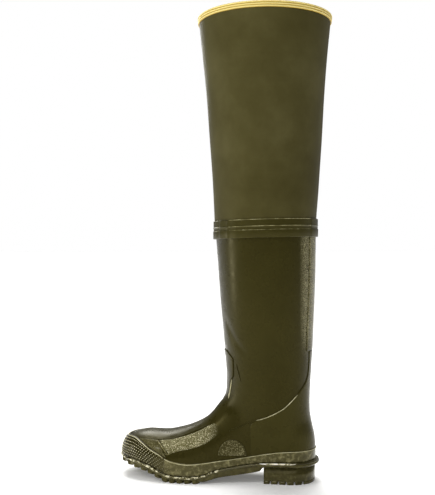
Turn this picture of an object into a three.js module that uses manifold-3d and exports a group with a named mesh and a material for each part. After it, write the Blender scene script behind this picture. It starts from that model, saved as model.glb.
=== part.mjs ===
// Hip wader, left boot: a rubber boot foot and calf with a thin thigh leg joined on at the knee.
// Millimetres. X runs from the toe (-) to the heel (+), -Y is the outer side, Z is up from the floor.
// The origin lies on the floor under the middle of the leg.
import * as THREE from 'three';
import { mergeVertices } from 'three/addons/utils/BufferGeometryUtils.js';
import Module from 'manifold-3d';

const wasm = await Module();
wasm.setup();

// Driving dimensions
const bootHeight = 740;
const kneeHeight = 390; // lower edge of the knee band
const ankleHeight = 158; // narrowest place of the shaft
const lastLength = 314;
const heelBack = 75; // back of the last, from the leg axis
const ballWidth = 104;
const instepHeight = 117; // where the vamp turns up into the shaft
const heelLift = 36; // footbed above the floor under the heel
const ankleFront = 65;
const ankleBack = 67.5;
const ankleWidth = 104;
const bendOut = 3.5; // how far the front bulges where the foot turns into the shaft
const kneeFront = 83.5;
const kneeBack = 75.5;
const kneeWidth = 151;
const topFront = 111.5;
const topBack = 101.5;
const topWidth = 205;
const upperWall = 2.2;
const thighWall = 1.5;
const thighLap = 1; // lower end of the thigh leg above the band's lower edge
const kneeLap = 12; // how far the calf reaches up inside the thigh leg
const insoleThickness = 4;
const clearance = 0.3; // between pieces that meet

// Overlays
const bumperThickness = 2.8;
const foxingThickness = 1.8;
const counterThickness = 1.2;
const stayThickness = 1.5;
const panelThickness = 0.9;
const capGap = 2; // bare strip between the toe cap's wing and the panel, at its low end
const tabThickness = 1.4;
const patchThickness = 1.1;
const bandThickness = 2.4;
const bandHeight = 25;
const bindingHeight = 10;
const bindingThickness = 1.6;
const stayInset = 6.5; // how far the back stay reaches round from the back line
const patchRadius = 22;
const patchLift = 5; // base of the patch above the foxing
const patchTall = 1.15; // height of the patch against its half width

// Sole
const soleEdge = 1.2; // sole edge beyond the foxing
const soleMargin = foxingThickness + clearance + soleEdge; // sole edge beyond the last
const rimReach = 2.2; // how far the rim stands out beyond the sole edge
const rimHeight = 3.5;
const spurReach = 4.5; // the ledge round the heel
const spurHeight = 7;
const spurDrop = 1; // its top below the footbed
const spurOverlap = 6; // how far it runs on before the heel
const heelTop = 27; // top of the heel block
const heelInset = 2.5; // heel block inside the sole edge
const heelBreast = -2; // front face of the heel block
const grooveDepth = 5;
const grooveWidth = 3.6;
const grooveWave = 4.5; // height of one zigzag
const grooveTurns = 5; // zigzags across the forefoot
const lugPitch = 12.2;
const heelGrooveWidth = 4;
const heelGrooves = 5;
const heelPlain = 14; // length at the back of the heel without a groove

// Mesh fineness
const sideSteps = 12; // points down each side of a section
const lineSteps = 90; // points along a side-view line

const toeTip = heelBack - lastLength;
const halfBall = ballWidth / 2;
const bumperEnd = toeTip + 0.2516 * lastLength; // where the bumper gives way to the plain foxing
const toeRound = 0.89 * halfBall; // length over which the toe closes
const heelRound = 0.36 * ballWidth; // length over which the heel closes
const toePower = 2.2; // squareness of the toe from above
const fanX = toeTip + 0.315 * lastLength; // the section planes turn about this line
const fanZ = ankleHeight + 8;
const bedDrop = 12; // the last goes on below the footbed by this, for the cut
const blendStart = 0.25 * ankleHeight; // the foot's width blends into the leg's from here to the ankle
const blendReach = 10; // and from the fan line to this far past the ankle's front
const bendShare = 0.42; // height of the bend between instep and ankle

// Cross-sections: rounded share of the depth, and squareness, on the foot and on the shaft.
const crossSection = {
  foot: { rounded: 0.62, power: 2.3 },
  shaft: { rounded: 0.5, power: 2 },
};
const thinnest = 0.6; // half width at which a section's ends stop closing

// Blocks for cutting reach past the boot.
const beyond = 20;
const farSide = topWidth;
const ridgeGap = 1; // panels stop beside the middle line by this
const farToe = toeTip - beyond;
const farHeel = heelBack + beyond;

// Foot from above: half width and centre as shares of half the ball width.
const footPlan = [
  { along: 0.0, half: 0.82, centre: 0.17 },
  { along: 0.127, half: 0.89, centre: 0.12 },
  { along: 0.22, half: 0.975, centre: 0.04 },
  { along: 0.293, half: 1.0, centre: 0.0 },
  { along: 0.363, half: 0.97, centre: -0.04 },
  { along: 0.443, half: 0.88, centre: -0.09 },
  { along: 0.529, half: 0.76, centre: -0.11 },
  { along: 0.634, half: 0.69, centre: -0.09 },
  { along: 0.761, half: 0.7, centre: -0.02 },
  { along: 0.889, half: 0.72, centre: 0.0 },
  { along: 1.0, half: 0.72, centre: 0.0 },
];

// Top of the foot from the side: rise as a share of the instep height.
const vampLine = [
  { along: 0.0, rise: 0.3 },
  { along: 0.003, rise: 0.39 },
  { along: 0.019, rise: 0.48 },
  { along: 0.045, rise: 0.54 },
  { along: 0.086, rise: 0.582 },
  { along: 0.127, rise: 0.603 },
  { along: 0.188, rise: 0.607 },
  { along: 0.239, rise: 0.615 },
  { along: 0.293, rise: 0.648 },
  { along: 0.347, rise: 0.692 },
  { along: 0.401, rise: 0.756 },
  { along: 0.455, rise: 0.845 },
  { along: 0.505, rise: 1.0 },
];

// Footbed and ground side of the sole: shares of the heel lift.
const soleLine = [
  { along: -0.02, bed: 0.94, ground: 0.72 },
  { along: 0.07, bed: 0.86, ground: 0.56 },
  { along: 0.111, bed: 0.8, ground: 0.49 },
  { along: 0.178, bed: 0.64, ground: 0.33 },
  { along: 0.232, bed: 0.46, ground: 0.14 },
  { along: 0.28, bed: 0.32, ground: 0.0 },
  { along: 0.37, bed: 0.28, ground: 0.0 },
  { along: 0.436, bed: 0.34, ground: 0.0 },
  { along: 0.487, bed: 0.5, ground: 0.16 },
  { along: 0.529, bed: 0.62, ground: 0.27 },
  { along: 0.634, bed: 0.8, ground: 0.41 },
  { along: 0.73, bed: 0.92, ground: 0.57 },
  { along: 0.77, bed: 0.95, ground: 0.76 },
  { along: 1.04, bed: 1.0, ground: 0.76 },
];

// Grooved stretch of the forefoot, along the last.
const tread = { start: 0.045, end: 0.46 };

// Back of the heel below the ankle: shares of the ankle height and of the heel's back.
const heelLine = [
  { level: 0.1, back: 0.97 },
  { level: 0.25, back: 1.0 },
  { level: 0.38, back: 1.0 },
  { level: 0.46, back: 0.985 },
  { level: 0.545, back: 0.947 },
  { level: 0.617, back: 0.912 },
  { level: 0.715, back: 0.888 },
  { level: 0.86, back: 0.887 },
];

// Shaft between ankle and knee: shares of the way from the ankle's size to the knee's.
const shaftShape = [
  { level: 0.0, front: 0.0, back: 0.0, half: 0.0 },
  { level: 0.138, front: 0.08, back: 0.24, half: 0.13 },
  { level: 0.246, front: 0.243, back: 0.38, half: 0.3 },
  { level: 0.353, front: 0.35, back: 0.48, half: 0.47 },
  { level: 0.565, front: 0.595, back: 0.75, half: 0.74 },
  { level: 0.772, front: 0.784, back: 0.94, half: 0.9 },
  { level: 0.95, front: 0.95, back: 0.99, half: 0.98 },
  { level: 1.0, front: 1.0, back: 1.0, half: 1.0 },
  { level: 1.2, front: 1.0, back: 1.0, half: 1.0 },
];

// Thigh leg between knee and top: shares of the way from the knee's size to the top's.
const thighShape = [
  { level: 0.0, front: 0.0, back: 0.0, half: 0.0 },
  { level: 0.07, front: 0.02, back: 0.03, half: 0.03 },
  { level: 0.197, front: 0.1, back: 0.17, half: 0.18 },
  { level: 0.406, front: 0.29, back: 0.38, half: 0.39 },
  { level: 0.614, front: 0.49, back: 0.55, half: 0.58 },
  { level: 0.823, front: 0.77, back: 0.76, half: 0.8 },
  { level: 1.0, front: 1.0, back: 1.0, half: 1.0 },
];

// Overlay edges seen from the side: along the last, and up as a share of the instep height.
const stayLow = 1.78; // where the counter and the tab end and the back stay begins
const patchAlong = 0.596;
const capSeam = { top: 0.213, low: 0.271, up: 0.53, wingStart: 0.105 };
const bumperTop = [
  { along: -0.02, up: 0.46 },
  { along: 0.02, up: 0.52 },
  { along: 0.08, up: 0.535 },
  { along: 0.127, up: 0.49 },
  { along: 0.178, up: 0.42 },
  { along: 0.226, up: 0.37 },
  { along: 0.258, up: 0.32 },
  { along: 0.29, up: 0.29 },
  { along: 0.36, up: 0.262 },
  { along: 0.45, up: 0.28 },
  { along: 0.52, up: 0.305 },
  { along: 0.59, up: 0.33 },
  { along: 0.68, up: 0.37 },
  { along: 0.761, up: 0.41 },
  { along: 0.863, up: 0.45 },
  { along: 1.06, up: 0.46 },
];
const panelTop = [
  { along: 0.27, up: 0.545 },
  { along: 0.315, up: 0.575 },
  { along: 0.37, up: 0.62 },
  { along: 0.42, up: 0.675 },
  { along: 0.46, up: 0.73 },
];
const panelLow = [
  { along: 0.505, up: 0.73 },
  { along: 0.484, up: 0.57 },
  { along: 0.43, up: 0.495 },
  { along: 0.379, up: 0.453 },
  { along: 0.328, up: 0.42 },
  { along: 0.287, up: 0.385 },
];
const counterEdge = [
  { along: 0.975, up: stayLow },
  { along: 0.973, up: 1.6 },
  { along: 0.96, up: 1.37 },
  { along: 0.92, up: 1.21 },
  { along: 0.892, up: 1.13 },
  { along: 0.857, up: 1.03 },
  { along: 0.81, up: 0.966 },
  { along: 0.761, up: 0.9 },
  { along: 0.717, up: 0.86 },
  { along: 0.692, up: 0.81 },
  { along: 0.686, up: 0.6 },
  { along: 0.686, up: 0.4 },
];

// Edge of the front tab: forward as a share of the ankle's front, up as a share of the instep height.
const tabEdge = [
  { forward: 1.503, up: stayLow },
  { forward: 0.986, up: stayLow },
  { forward: 0.783, up: 1.66 },
  { forward: 0.798, up: 1.44 },
  { forward: 0.827, up: 1.38 },
  { forward: 0.914, up: 1.09 },
  { forward: 1.503, up: 1.09 },
];

// Knee band and collar binding: how far each level stands out, as a share of the thickness.
const bandProfile = [
  { level: 0.0, out: 0.75 },
  { level: 0.03, out: 1.0 },
  { level: 0.35, out: 1.0 },
  { level: 0.38, out: 0.7 },
  { level: 0.53, out: 0.7 },
  { level: 0.57, out: 0.95 },
  { level: 0.62, out: 0.7 },
  { level: 0.96, out: 0.65 },
  { level: 1.0, out: 0.4 },
];
const bindingProfile = [
  { level: 0.0, out: 0.6 },
  { level: 0.1, out: 1.0 },
  { level: 0.27, out: 1.0 },
  { level: 0.35, out: 0.6 },
  { level: 0.43, out: 1.0 },
  { level: 0.57, out: 1.0 },
  { level: 0.65, out: 0.6 },
  { level: 0.73, out: 1.0 },
  { level: 0.9, out: 1.0 },
  { level: 1.0, out: 0.5 },
];

const xAt = (along) => toeTip + along * lastLength;
const alongOf = (x) => (x - toeTip) / lastLength;
const mix = (a, b, share) => a + (b - a) * share;
const clamp01 = (v) => Math.min(1, Math.max(0, v));

function ease(low, high, v) {
  const t = clamp01((v - low) / (high - low));
  return t * t * (3 - 2 * t);
}

// Smooth reading of one column of a table, through a curve over its rows.
const columnCurves = new Map();
function read(table, key, column, at) {
  if (!columnCurves.has(table)) columnCurves.set(table, {});
  const known = columnCurves.get(table);
  if (!known[column]) {
    const rows = table.map((row) => new THREE.Vector3(row[key], row[column], 0));
    known[column] = new THREE.CatmullRomCurve3(rows, false, 'centripetal').getPoints(20 * rows.length);
  }
  const points = known[column];
  if (at <= points[0].x) return points[0].y;
  for (let i = 1; i < points.length; i++) {
    if (at <= points[i].x) {
      const span = points[i].x - points[i - 1].x;
      return mix(points[i - 1].y, points[i].y, span > 0 ? (at - points[i - 1].x) / span : 0);
    }
  }
  return points[points.length - 1].y;
}

// How much of its full width a form has at a depth inside its rounded edge.
function closing(depth, round, power) {
  const t = clamp01(depth / round);
  return Math.pow(1 - Math.pow(1 - t, power), 1 / power);
}

const bedZ = (x) => heelLift * read(soleLine, 'along', 'bed', alongOf(x));
const groundZ = (x) => Math.max(0, heelLift * read(soleLine, 'along', 'ground', alongOf(x)));
const bumperZ = (x) => instepHeight * read(bumperTop, 'along', 'up', alongOf(x));

function shaftAt(z) {
  const level = (z - ankleHeight) / (kneeHeight - ankleHeight);
  return {
    front: -mix(ankleFront, kneeFront, read(shaftShape, 'level', 'front', level)),
    back: mix(ankleBack, kneeBack, read(shaftShape, 'level', 'back', level)),
    half: mix(ankleWidth, kneeWidth, read(shaftShape, 'level', 'half', level)) / 2,
  };
}

// The whole side view of the last as two lines: front and top, then bottom and back.
const shaftLevels = [0, 0.138, 0.246, 0.353, 0.565, 0.772, 0.95, 1.0, 1.12];
const shaftHeights = shaftLevels.map((level) => mix(ankleHeight, kneeHeight, level));

function smoothLine(points) {
  return new THREE.CatmullRomCurve3(points, false, 'centripetal').getPoints(lineSteps * 4);
}

const frontLine = smoothLine([
  ...vampLine.map((row) => new THREE.Vector3(xAt(row.along), 0, row.rise * instepHeight)),
  new THREE.Vector3(-ankleFront - bendOut, 0, mix(instepHeight, ankleHeight, bendShare)),
  ...shaftHeights.map((z) => new THREE.Vector3(shaftAt(z).front, 0, z)),
]);
const heelPoints = heelLine.map((row) => new THREE.Vector3(row.back * heelBack, 0, row.level * ankleHeight));
const backLine = smoothLine([
  ...heelPoints,
  ...shaftHeights.map((z) => new THREE.Vector3(shaftAt(z).back, 0, z)),
]);
const bottomLine = [];
for (let i = 0; i <= lineSteps; i++) {
  const x = mix(farToe, heelPoints[0].x, i / lineSteps);
  bottomLine.push(new THREE.Vector3(x, 0, bedZ(x) - bedDrop));
}
const lowerLine = [...bottomLine, ...backLine.filter((p) => p.z > bedZ(heelBack) - bedDrop)];

// Where a ray in the side view first meets a line.
function meet(origin, direction, line) {
  let best = Infinity;
  for (let i = 1; i < line.length; i++) {
    const a = line[i - 1];
    const b = line[i];
    const ex = b.x - a.x;
    const ez = b.z - a.z;
    const det = direction.x * ez - direction.z * ex;
    if (Math.abs(det) < 1e-9) continue;
    const reach = ((a.x - origin.x) * ez - (a.z - origin.z) * ex) / det;
    const share = ((a.x - origin.x) * direction.z - (a.z - origin.z) * direction.x) / det;
    if (share > -1e-6 && share < 1 + 1e-6 && reach > 0 && reach < best) best = reach;
  }
  return best;
}

function backAt(z) {
  const reach = meet({ x: -ankleFront / 2, z }, { x: 1, z: 0 }, backLine);
  return Number.isFinite(reach) ? reach - ankleFront / 2 : heelPoints[0].x;
}

function footHalf(x) {
  return halfBall * read(footPlan, 'along', 'half', alongOf(x)) * closing(x - toeTip, toeRound, toePower);
}
const footCentre = (x) => halfBall * read(footPlan, 'along', 'centre', alongOf(x));

// One section: points from the ridge down the outer side, then back up the inner side.
function section(origin, direction, turn) {
  const near = meet(origin, direction, frontLine);
  const far = meet(origin, direction, lowerLine);
  const depth = far - near;
  const { foot, shaft } = crossSection;
  const frontRound = depth * mix(foot.rounded, shaft.rounded, turn);
  const power = mix(foot.power, shaft.power, turn);
  const outer = [];
  const inner = [];
  for (let i = 1; i <= sideSteps; i++) {
    const run = near + (depth * (1 - Math.cos((Math.PI * i) / sideSteps))) / 2;
    const x = origin.x + direction.x * run;
    const z = origin.z + direction.z * run;
    const rise = ease(blendStart, ankleHeight, z);
    const legShare = rise * ease(fanX, -ankleFront + blendReach, x);
    const leg = shaftAt(Math.max(z, ankleHeight));
    const wide = mix(footHalf(x), leg.half, legShare);
    const backRound = mix(heelRound, (leg.back - leg.front) / 2, rise);
    const closed = closing(run - near, frontRound, power) * closing(backAt(z) - x, backRound, shaft.power);
    const half = Math.max(wide * closed, thinnest);
    const middle = footCentre(x) * (1 - legShare);
    outer.push(new THREE.Vector3(x, middle - half, z));
    inner.unshift(new THREE.Vector3(x, middle + half, z));
  }
  const ridgeX = origin.x + direction.x * near;
  const ridgeZ = origin.z + direction.z * near;
  const ridge = new THREE.Vector3(ridgeX, footCentre(ridgeX) * (1 - turn), ridgeZ);
  return [ridge, ...outer, ...inner];
}

// Section planes: upright across the foot, turning round the instep, level up the shaft.
const toeSections = [0.001, 0.006, 0.018, 0.04, 0.075, 0.12, 0.17, 0.22, 0.268];
const fanTurns = [0, 0.13, 0.25, 0.36, 0.46, 0.55, 0.64, 0.73, 0.82, 0.91, 1];
const lastSections = [
  ...toeSections.map((along) => section({ x: xAt(along), z: fanZ }, { x: 0, z: -1 }, 0)),
  ...fanTurns.map((turn) => {
    const angle = (turn * Math.PI) / 2;
    return section({ x: fanX, z: fanZ }, { x: Math.sin(angle), z: -Math.cos(angle) }, turn);
  }),
  ...shaftHeights
    .filter((z) => z > fanZ)
    .map((z) => section({ x: fanX, z }, { x: 1, z: 0 }, 1)),
];

// Outward direction at each point of a grid of sections.
function outwardOf(sections) {
  const count = sections[0].length;
  return sections.map((ring, i) =>
    ring.map((point, j) => {
      const before = sections[Math.max(0, i - 1)][j];
      const after = sections[Math.min(sections.length - 1, i + 1)][j];
      const left = ring[(j + count - 1) % count];
      const right = ring[(j + 1) % count];
      const along = after.clone().sub(before);
      const around = right.clone().sub(left);
      return around.cross(along).normalize();
    }),
  );
}

const lastOutward = outwardOf(lastSections);

function toSolid(geometry) {
  const bare = geometry.clone();
  bare.deleteAttribute('normal');
  bare.deleteAttribute('uv');
  const merged = mergeVertices(bare, 1e-4);
  const mesh = new wasm.Mesh({
    numProp: 3,
    vertProperties: new Float32Array(merged.attributes.position.array),
    triVerts: new Uint32Array(merged.index.array),
  });
  return new wasm.Manifold(mesh);
}

// A closed solid through sections with the same number of points.
function loft(sections) {
  const count = sections[0].length;
  const positions = [];
  const index = [];
  sections.forEach((ring) => ring.forEach((p) => positions.push(p.x, p.y, p.z)));
  for (let i = 0; i + 1 < sections.length; i++) {
    for (let j = 0; j < count; j++) {
      const k = (j + 1) % count;
      const a = i * count + j;
      const b = i * count + k;
      const c = a + count;
      const d = b + count;
      index.push(a, b, d, a, d, c);
    }
  }
  const middles = [sections[0], sections[sections.length - 1]].map((ring) => {
    const sum = ring.reduce((total, p) => total.add(p), new THREE.Vector3());
    return sum.divideScalar(count);
  });
  middles.forEach((p) => positions.push(p.x, p.y, p.z));
  const firstMiddle = sections.length * count;
  const lastRing = (sections.length - 1) * count;
  for (let j = 0; j < count; j++) {
    const k = (j + 1) % count;
    index.push(k, j, firstMiddle);
    index.push(lastRing + j, lastRing + k, firstMiddle + 1);
  }
  const geometry = new THREE.BufferGeometry();
  geometry.setAttribute('position', new THREE.Float32BufferAttribute(positions, 3));
  geometry.setIndex(index);
  return toSolid(geometry);
}

// The last grown outward by a distance, or shrunk by a negative one.
function lastForm(distance) {
  return loft(
    lastSections.map((ring, i) =>
      ring.map((point, j) => point.clone().addScaledVector(lastOutward[i][j], distance)),
    ),
  );
}

// A block whose side view is the given outline, right across the boot.
function sideBlock(points, fromY = -farSide, toY = farSide) {
  const shape = new THREE.Shape(points.map(([x, z]) => new THREE.Vector2(x, z)));
  const geometry = new THREE.ExtrudeGeometry(shape, { depth: toY - fromY, bevelEnabled: false });
  geometry.rotateX(Math.PI / 2);
  geometry.translate(0, toY, 0);
  return toSolid(geometry);
}

// An upright block over an outline seen from above.
function planBlock(points, fromZ, toZ) {
  const shape = new THREE.Shape(points.map(([x, y]) => new THREE.Vector2(x, y)));
  const geometry = new THREE.ExtrudeGeometry(shape, { depth: toZ - fromZ, bevelEnabled: false });
  geometry.translate(0, 0, fromZ);
  return toSolid(geometry);
}

// Points along a height that changes along the foot.
function lineOf(heightAt, fromX, toX, steps) {
  const points = [];
  for (let i = 0; i <= steps; i++) {
    const x = mix(fromX, toX, i / steps);
    points.push([x, heightAt(x)]);
  }
  return points;
}

// The block between two heights that change along the foot.
function bandBlock(lowAt, highAt, fromX, toX, steps) {
  return sideBlock([...lineOf(lowAt, fromX, toX, steps), ...lineOf(highAt, toX, fromX, steps)]);
}

const edgePoints = (rows) => rows.map((row) => [xAt(row.along), row.up * instepHeight]);

// The foot's outline from above at the footbed, moved outward by a margin.
function soleOutline(margin) {
  const steps = 24;
  const half = (x) => footHalf(x) * closing(heelBack - x, heelRound, crossSection.shaft.power);
  const stations = [];
  for (let i = 0; i <= steps; i++) {
    stations.push(mix(toeTip, heelBack, (1 - Math.cos((Math.PI * i) / steps)) / 2));
  }
  const outer = stations.map((x) => new THREE.Vector2(x, footCentre(x) - half(x)));
  const inner = stations.slice(1, -1).reverse().map((x) => new THREE.Vector2(x, footCentre(x) + half(x)));
  const loop = [...outer, ...inner];
  return loop.map((p, i) => {
    const before = loop[(i + loop.length - 1) % loop.length];
    const after = loop[(i + 1) % loop.length];
    const run = after.clone().sub(before).normalize();
    return [p.x + run.y * margin, p.y - run.x * margin];
  });
}

const calfTop = kneeHeight + kneeLap;

function makeUpper() {
  const wall = lastForm(0).subtract(lastForm(-upperWall));
  const bounds = bandBlock((x) => bedZ(x) + clearance, () => calfTop, farToe, farHeel, 44);
  return wall.intersect(bounds);
}

function makeInsole() {
  const inside = lastForm(-upperWall - clearance);
  const low = (x) => bedZ(x) + clearance;
  return inside.intersect(bandBlock(low, (x) => low(x) + insoleThickness, farToe, farHeel, 40));
}

// A layer lying on the upper.
function overlay(thickness) {
  return lastForm(clearance + thickness).subtract(lastForm(clearance));
}

function makeBumper() {
  const low = (x) => bedZ(x) + clearance;
  return overlay(bumperThickness).intersect(bandBlock(low, bumperZ, farToe, bumperEnd, 22));
}

function makeFoxing() {
  const low = (x) => bedZ(x) + clearance;
  const start = bumperEnd + clearance;
  return overlay(foxingThickness).intersect(bandBlock(low, bumperZ, start, farHeel, 34));
}

function makeCounter() {
  const edge = edgePoints(counterEdge);
  const first = edge[0];
  const last = edge[edge.length - 1];
  const foot = (x) => bumperZ(x) + clearance;
  const under = lineOf(foot, last[0], farHeel, 12);
  const sideView = [...under, [farHeel, first[1]], ...edge.filter(([x, z]) => z > foot(x))];
  return overlay(counterThickness).intersect(sideBlock(sideView));
}

function makeBackStay() {
  const low = counterEdge[0].up * instepHeight + clearance;
  const high = kneeHeight - clearance;
  const front = [0, 0.25, 0.5, 0.75, 1].map((share) => {
    const z = mix(high, low, share);
    return [shaftAt(z).back - stayInset, z];
  });
  return overlay(stayThickness).intersect(sideBlock([[farHeel, low], [farHeel, high], ...front]));
}

function makeTab() {
  const outline = tabEdge.map((row) => [-row.forward * ankleFront, row.up * instepHeight]);
  return overlay(tabThickness).intersect(sideBlock(outline));
}

// The stippled panel of one side, and the short wing of the toe cap before it.
function makePanel(rows, fromY, toY) {
  return overlay(panelThickness).intersect(sideBlock(rows, fromY, toY));
}
function panelOutline() {
  const start = [xAt(capSeam.top) + clearance * 2, capSeam.up * instepHeight];
  return [start, ...edgePoints(panelTop), ...edgePoints(panelLow)];
}
function wingOutline() {
  const low = (x) => bumperZ(x) + clearance;
  const end = [xAt(capSeam.top) - clearance * 2, capSeam.up * instepHeight];
  return [...lineOf(low, xAt(capSeam.wingStart), xAt(capSeam.low) - capGap, 6), end];
}

function makePatch() {
  const middle = xAt(patchAlong);
  const base = bumperZ(middle) + patchLift;
  const rows = [];
  for (let i = 0; i <= 12; i++) {
    const angle = (Math.PI * i) / 12;
    rows.push([middle + patchRadius * Math.cos(angle), base + patchRadius * patchTall * Math.sin(angle)]);
  }
  return overlay(patchThickness).intersect(sideBlock(rows, -farSide, -patchRadius / 2));
}

// Level rings of the thigh leg, grown outward by a distance.
function thighRing(z, distance) {
  const level = (z - kneeHeight) / (bootHeight - kneeHeight);
  const lap = clearance + thighWall;
  const grow = (column) => read(thighShape, 'level', column, level);
  const front = mix(kneeFront + lap, topFront, grow('front')) + distance;
  const back = mix(kneeBack + lap, topBack, grow('back')) + distance;
  const half = mix(kneeWidth / 2 + lap, topWidth / 2, grow('half')) + distance;
  const ring = [];
  const middle = (back - front) / 2;
  const reach = (back + front) / 2;
  const around = 2 * sideSteps;
  for (let i = 0; i < around; i++) {
    const angle = (2 * Math.PI * i) / around;
    ring.push(new THREE.Vector3(middle - reach * Math.cos(angle), -half * Math.sin(angle), z));
  }
  return ring;
}

// A ring-shaped solid between an outer and an inner stack of rings.
function sleeve(outerRows, innerDistance) {
  const outer = loft(outerRows.map(([z, distance]) => thighRing(z, distance)));
  const lowest = outerRows[0][0];
  const highest = outerRows[outerRows.length - 1][0];
  const span = highest - lowest;
  const innerRows = outerRows
    .map(([z]) => z)
    .filter((z, i, all) => i === 0 || i === all.length - 1 || span > 2 * bandHeight);
  innerRows[0] = lowest - 1;
  innerRows[innerRows.length - 1] = highest + 1;
  return outer.subtract(loft(innerRows.map((z) => thighRing(z, innerDistance))));
}

function makeThigh() {
  const top = bootHeight - bindingThickness;
  return sleeve(thighShape.map(({ level }) => [mix(kneeHeight + thighLap, top, level), 0]), -thighWall);
}

function makeBand() {
  const rows = bandProfile.map(({ level, out }) => {
    return [kneeHeight + level * bandHeight, clearance + out * bandThickness];
  });
  return sleeve(rows, clearance);
}

function makeBinding() {
  const low = bootHeight - bindingHeight;
  const rows = bindingProfile.map(({ level, out }) => {
    return [low + level * bindingHeight, clearance + out * bindingThickness];
  });
  return sleeve(rows, clearance);
}

// A zigzag groove across the forefoot, as a plan outline.
function zigzag(x) {
  const reach = 0.62 * ballWidth;
  const front = [];
  const back = [];
  for (let i = 0; i <= 2 * grooveTurns; i++) {
    const y = mix(-reach, reach, i / (2 * grooveTurns));
    const swing = (i % 2 ? 0.5 : -0.5) * grooveWave;
    front.unshift([x + swing - grooveWidth / 2, y]);
    back.push([x + swing + grooveWidth / 2, y]);
  }
  return [...back, ...front];
}

function makeOutsole() {
  const [body, rim, spur] = [0, rimReach, spurReach].map((reach) =>
    planBlock(soleOutline(soleMargin + reach), -1, heelLift + 1),
  );
  const heelJoin = heelTop + clearance;
  const shankEnd = heelBreast - clearance;
  const ground = lineOf(groundZ, farToe, shankEnd, 36);
  const sideView = [...ground, [shankEnd, heelJoin], [farHeel, heelJoin], ...lineOf(bedZ, farHeel, farToe, 44)];
  let sole = body.intersect(sideBlock(sideView));
  const rimBand = bandBlock((x) => bedZ(x) - rimHeight, bedZ, farToe, heelBreast, 30);
  const spurLow = (x) => Math.max(bedZ(x) - spurHeight, heelJoin);
  const spurBand = bandBlock(spurLow, (x) => bedZ(x) - spurDrop, heelBreast - spurOverlap, farHeel, 8);
  sole = sole.add(rim.intersect(rimBand)).add(spur.intersect(spurBand));
  for (let x = xAt(tread.start); x < xAt(tread.end); x += lugPitch) {
    sole = sole.subtract(planBlock(zigzag(x), -1, groundZ(x) + grooveDepth));
  }
  return sole;
}

function makeHeel() {
  const edge = soleOutline(soleMargin - heelInset);
  let heel = planBlock(edge, 0, heelTop);
  const breast = [[heelBreast, -1], [farHeel, -1], [farHeel, heelTop + 1], [heelBreast, heelTop + 1]];
  heel = heel.intersect(sideBlock(breast));
  const pitch = (heelBack - heelBreast - heelPlain) / heelGrooves;
  for (let i = 0; i < heelGrooves; i++) {
    const x = heelBreast + pitch * (i + 0.75);
    const half = heelGrooveWidth / 2;
    const groove = [[x - half, -1], [x + half, -1], [x + half, grooveDepth], [x - half, grooveDepth]];
    heel = heel.subtract(sideBlock(groove));
  }
  return heel;
}

function toGeometry(solid) {
  const mesh = solid.getMesh();
  const geometry = new THREE.BufferGeometry();
  geometry.setAttribute('position', new THREE.BufferAttribute(new Float32Array(mesh.vertProperties), 3));
  geometry.setIndex(new THREE.BufferAttribute(new Uint32Array(mesh.triVerts), 1));
  geometry.computeVertexNormals();
  return geometry;
}

// Looks: moulded rubber, coated cloth, stippled rubber, sole rubber, collar tape and felt.
const olive = { color: 0x4a4526, roughness: 0.45, metalness: 0 };
const oliveDull = { color: 0x56502f, roughness: 0.7, metalness: 0 };
const khaki = { color: 0x6b6440, roughness: 0.6, metalness: 0 };
const soleOlive = { color: 0x474224, roughness: 0.5, metalness: 0 };
const gold = { color: 0xe0c060, roughness: 0.6, metalness: 0 };
const felt = { color: 0x6e6a55, roughness: 0.9, metalness: 0 };

const wader = new THREE.Group();
function place(name, solid, look) {
  const mesh = new THREE.Mesh(toGeometry(solid), new THREE.MeshStandardMaterial(look));
  mesh.name = name;
  wader.add(mesh);
}

place('upper', makeUpper(), olive);
place('insole', makeInsole(), felt);
place('outsole', makeOutsole(), soleOlive);
place('heel', makeHeel(), soleOlive);
place('toe_bumper', makeBumper(), soleOlive);
place('foxing', makeFoxing(), olive);
place('heel_counter', makeCounter(), olive);
place('back_stay', makeBackStay(), olive);
place('front_tab', makeTab(), olive);
place('vamp_panel_outer', makePanel(panelOutline(), -farSide, -ridgeGap), khaki);
place('vamp_panel_inner', makePanel(panelOutline(), ridgeGap, farSide), khaki);
place('toe_wing_outer', makePanel(wingOutline(), -farSide, -ridgeGap), olive);
place('toe_wing_inner', makePanel(wingOutline(), ridgeGap, farSide), olive);
place('ankle_patch', makePatch(), khaki);
place('thigh_leg', makeThigh(), oliveDull);
place('knee_band', makeBand(), oliveDull);
place('collar_binding', makeBinding(), gold);

export default wader;
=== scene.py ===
# Hip wader, left boot: moulded rubber foot and calf, rubber-coated cloth leg above the knee.
# Metres. The toe points to -X, the outer side faces -Y, Z is up from the floor.
import math
import bpy
import bmesh
import numpy as np
from mathutils import Matrix, Vector


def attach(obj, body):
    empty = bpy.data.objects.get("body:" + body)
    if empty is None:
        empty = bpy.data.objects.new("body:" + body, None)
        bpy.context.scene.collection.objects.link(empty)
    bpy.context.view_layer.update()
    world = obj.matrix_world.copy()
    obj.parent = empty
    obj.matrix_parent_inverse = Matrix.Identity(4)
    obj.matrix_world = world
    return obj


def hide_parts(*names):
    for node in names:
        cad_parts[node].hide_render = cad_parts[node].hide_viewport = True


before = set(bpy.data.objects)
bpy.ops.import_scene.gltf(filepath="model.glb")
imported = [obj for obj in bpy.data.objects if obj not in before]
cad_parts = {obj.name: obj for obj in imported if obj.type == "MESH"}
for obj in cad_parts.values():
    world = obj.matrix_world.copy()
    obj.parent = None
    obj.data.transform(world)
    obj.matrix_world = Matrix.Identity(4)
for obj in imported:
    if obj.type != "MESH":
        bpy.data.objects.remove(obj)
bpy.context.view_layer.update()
print("frame loaded")

mm = 0.001

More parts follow.
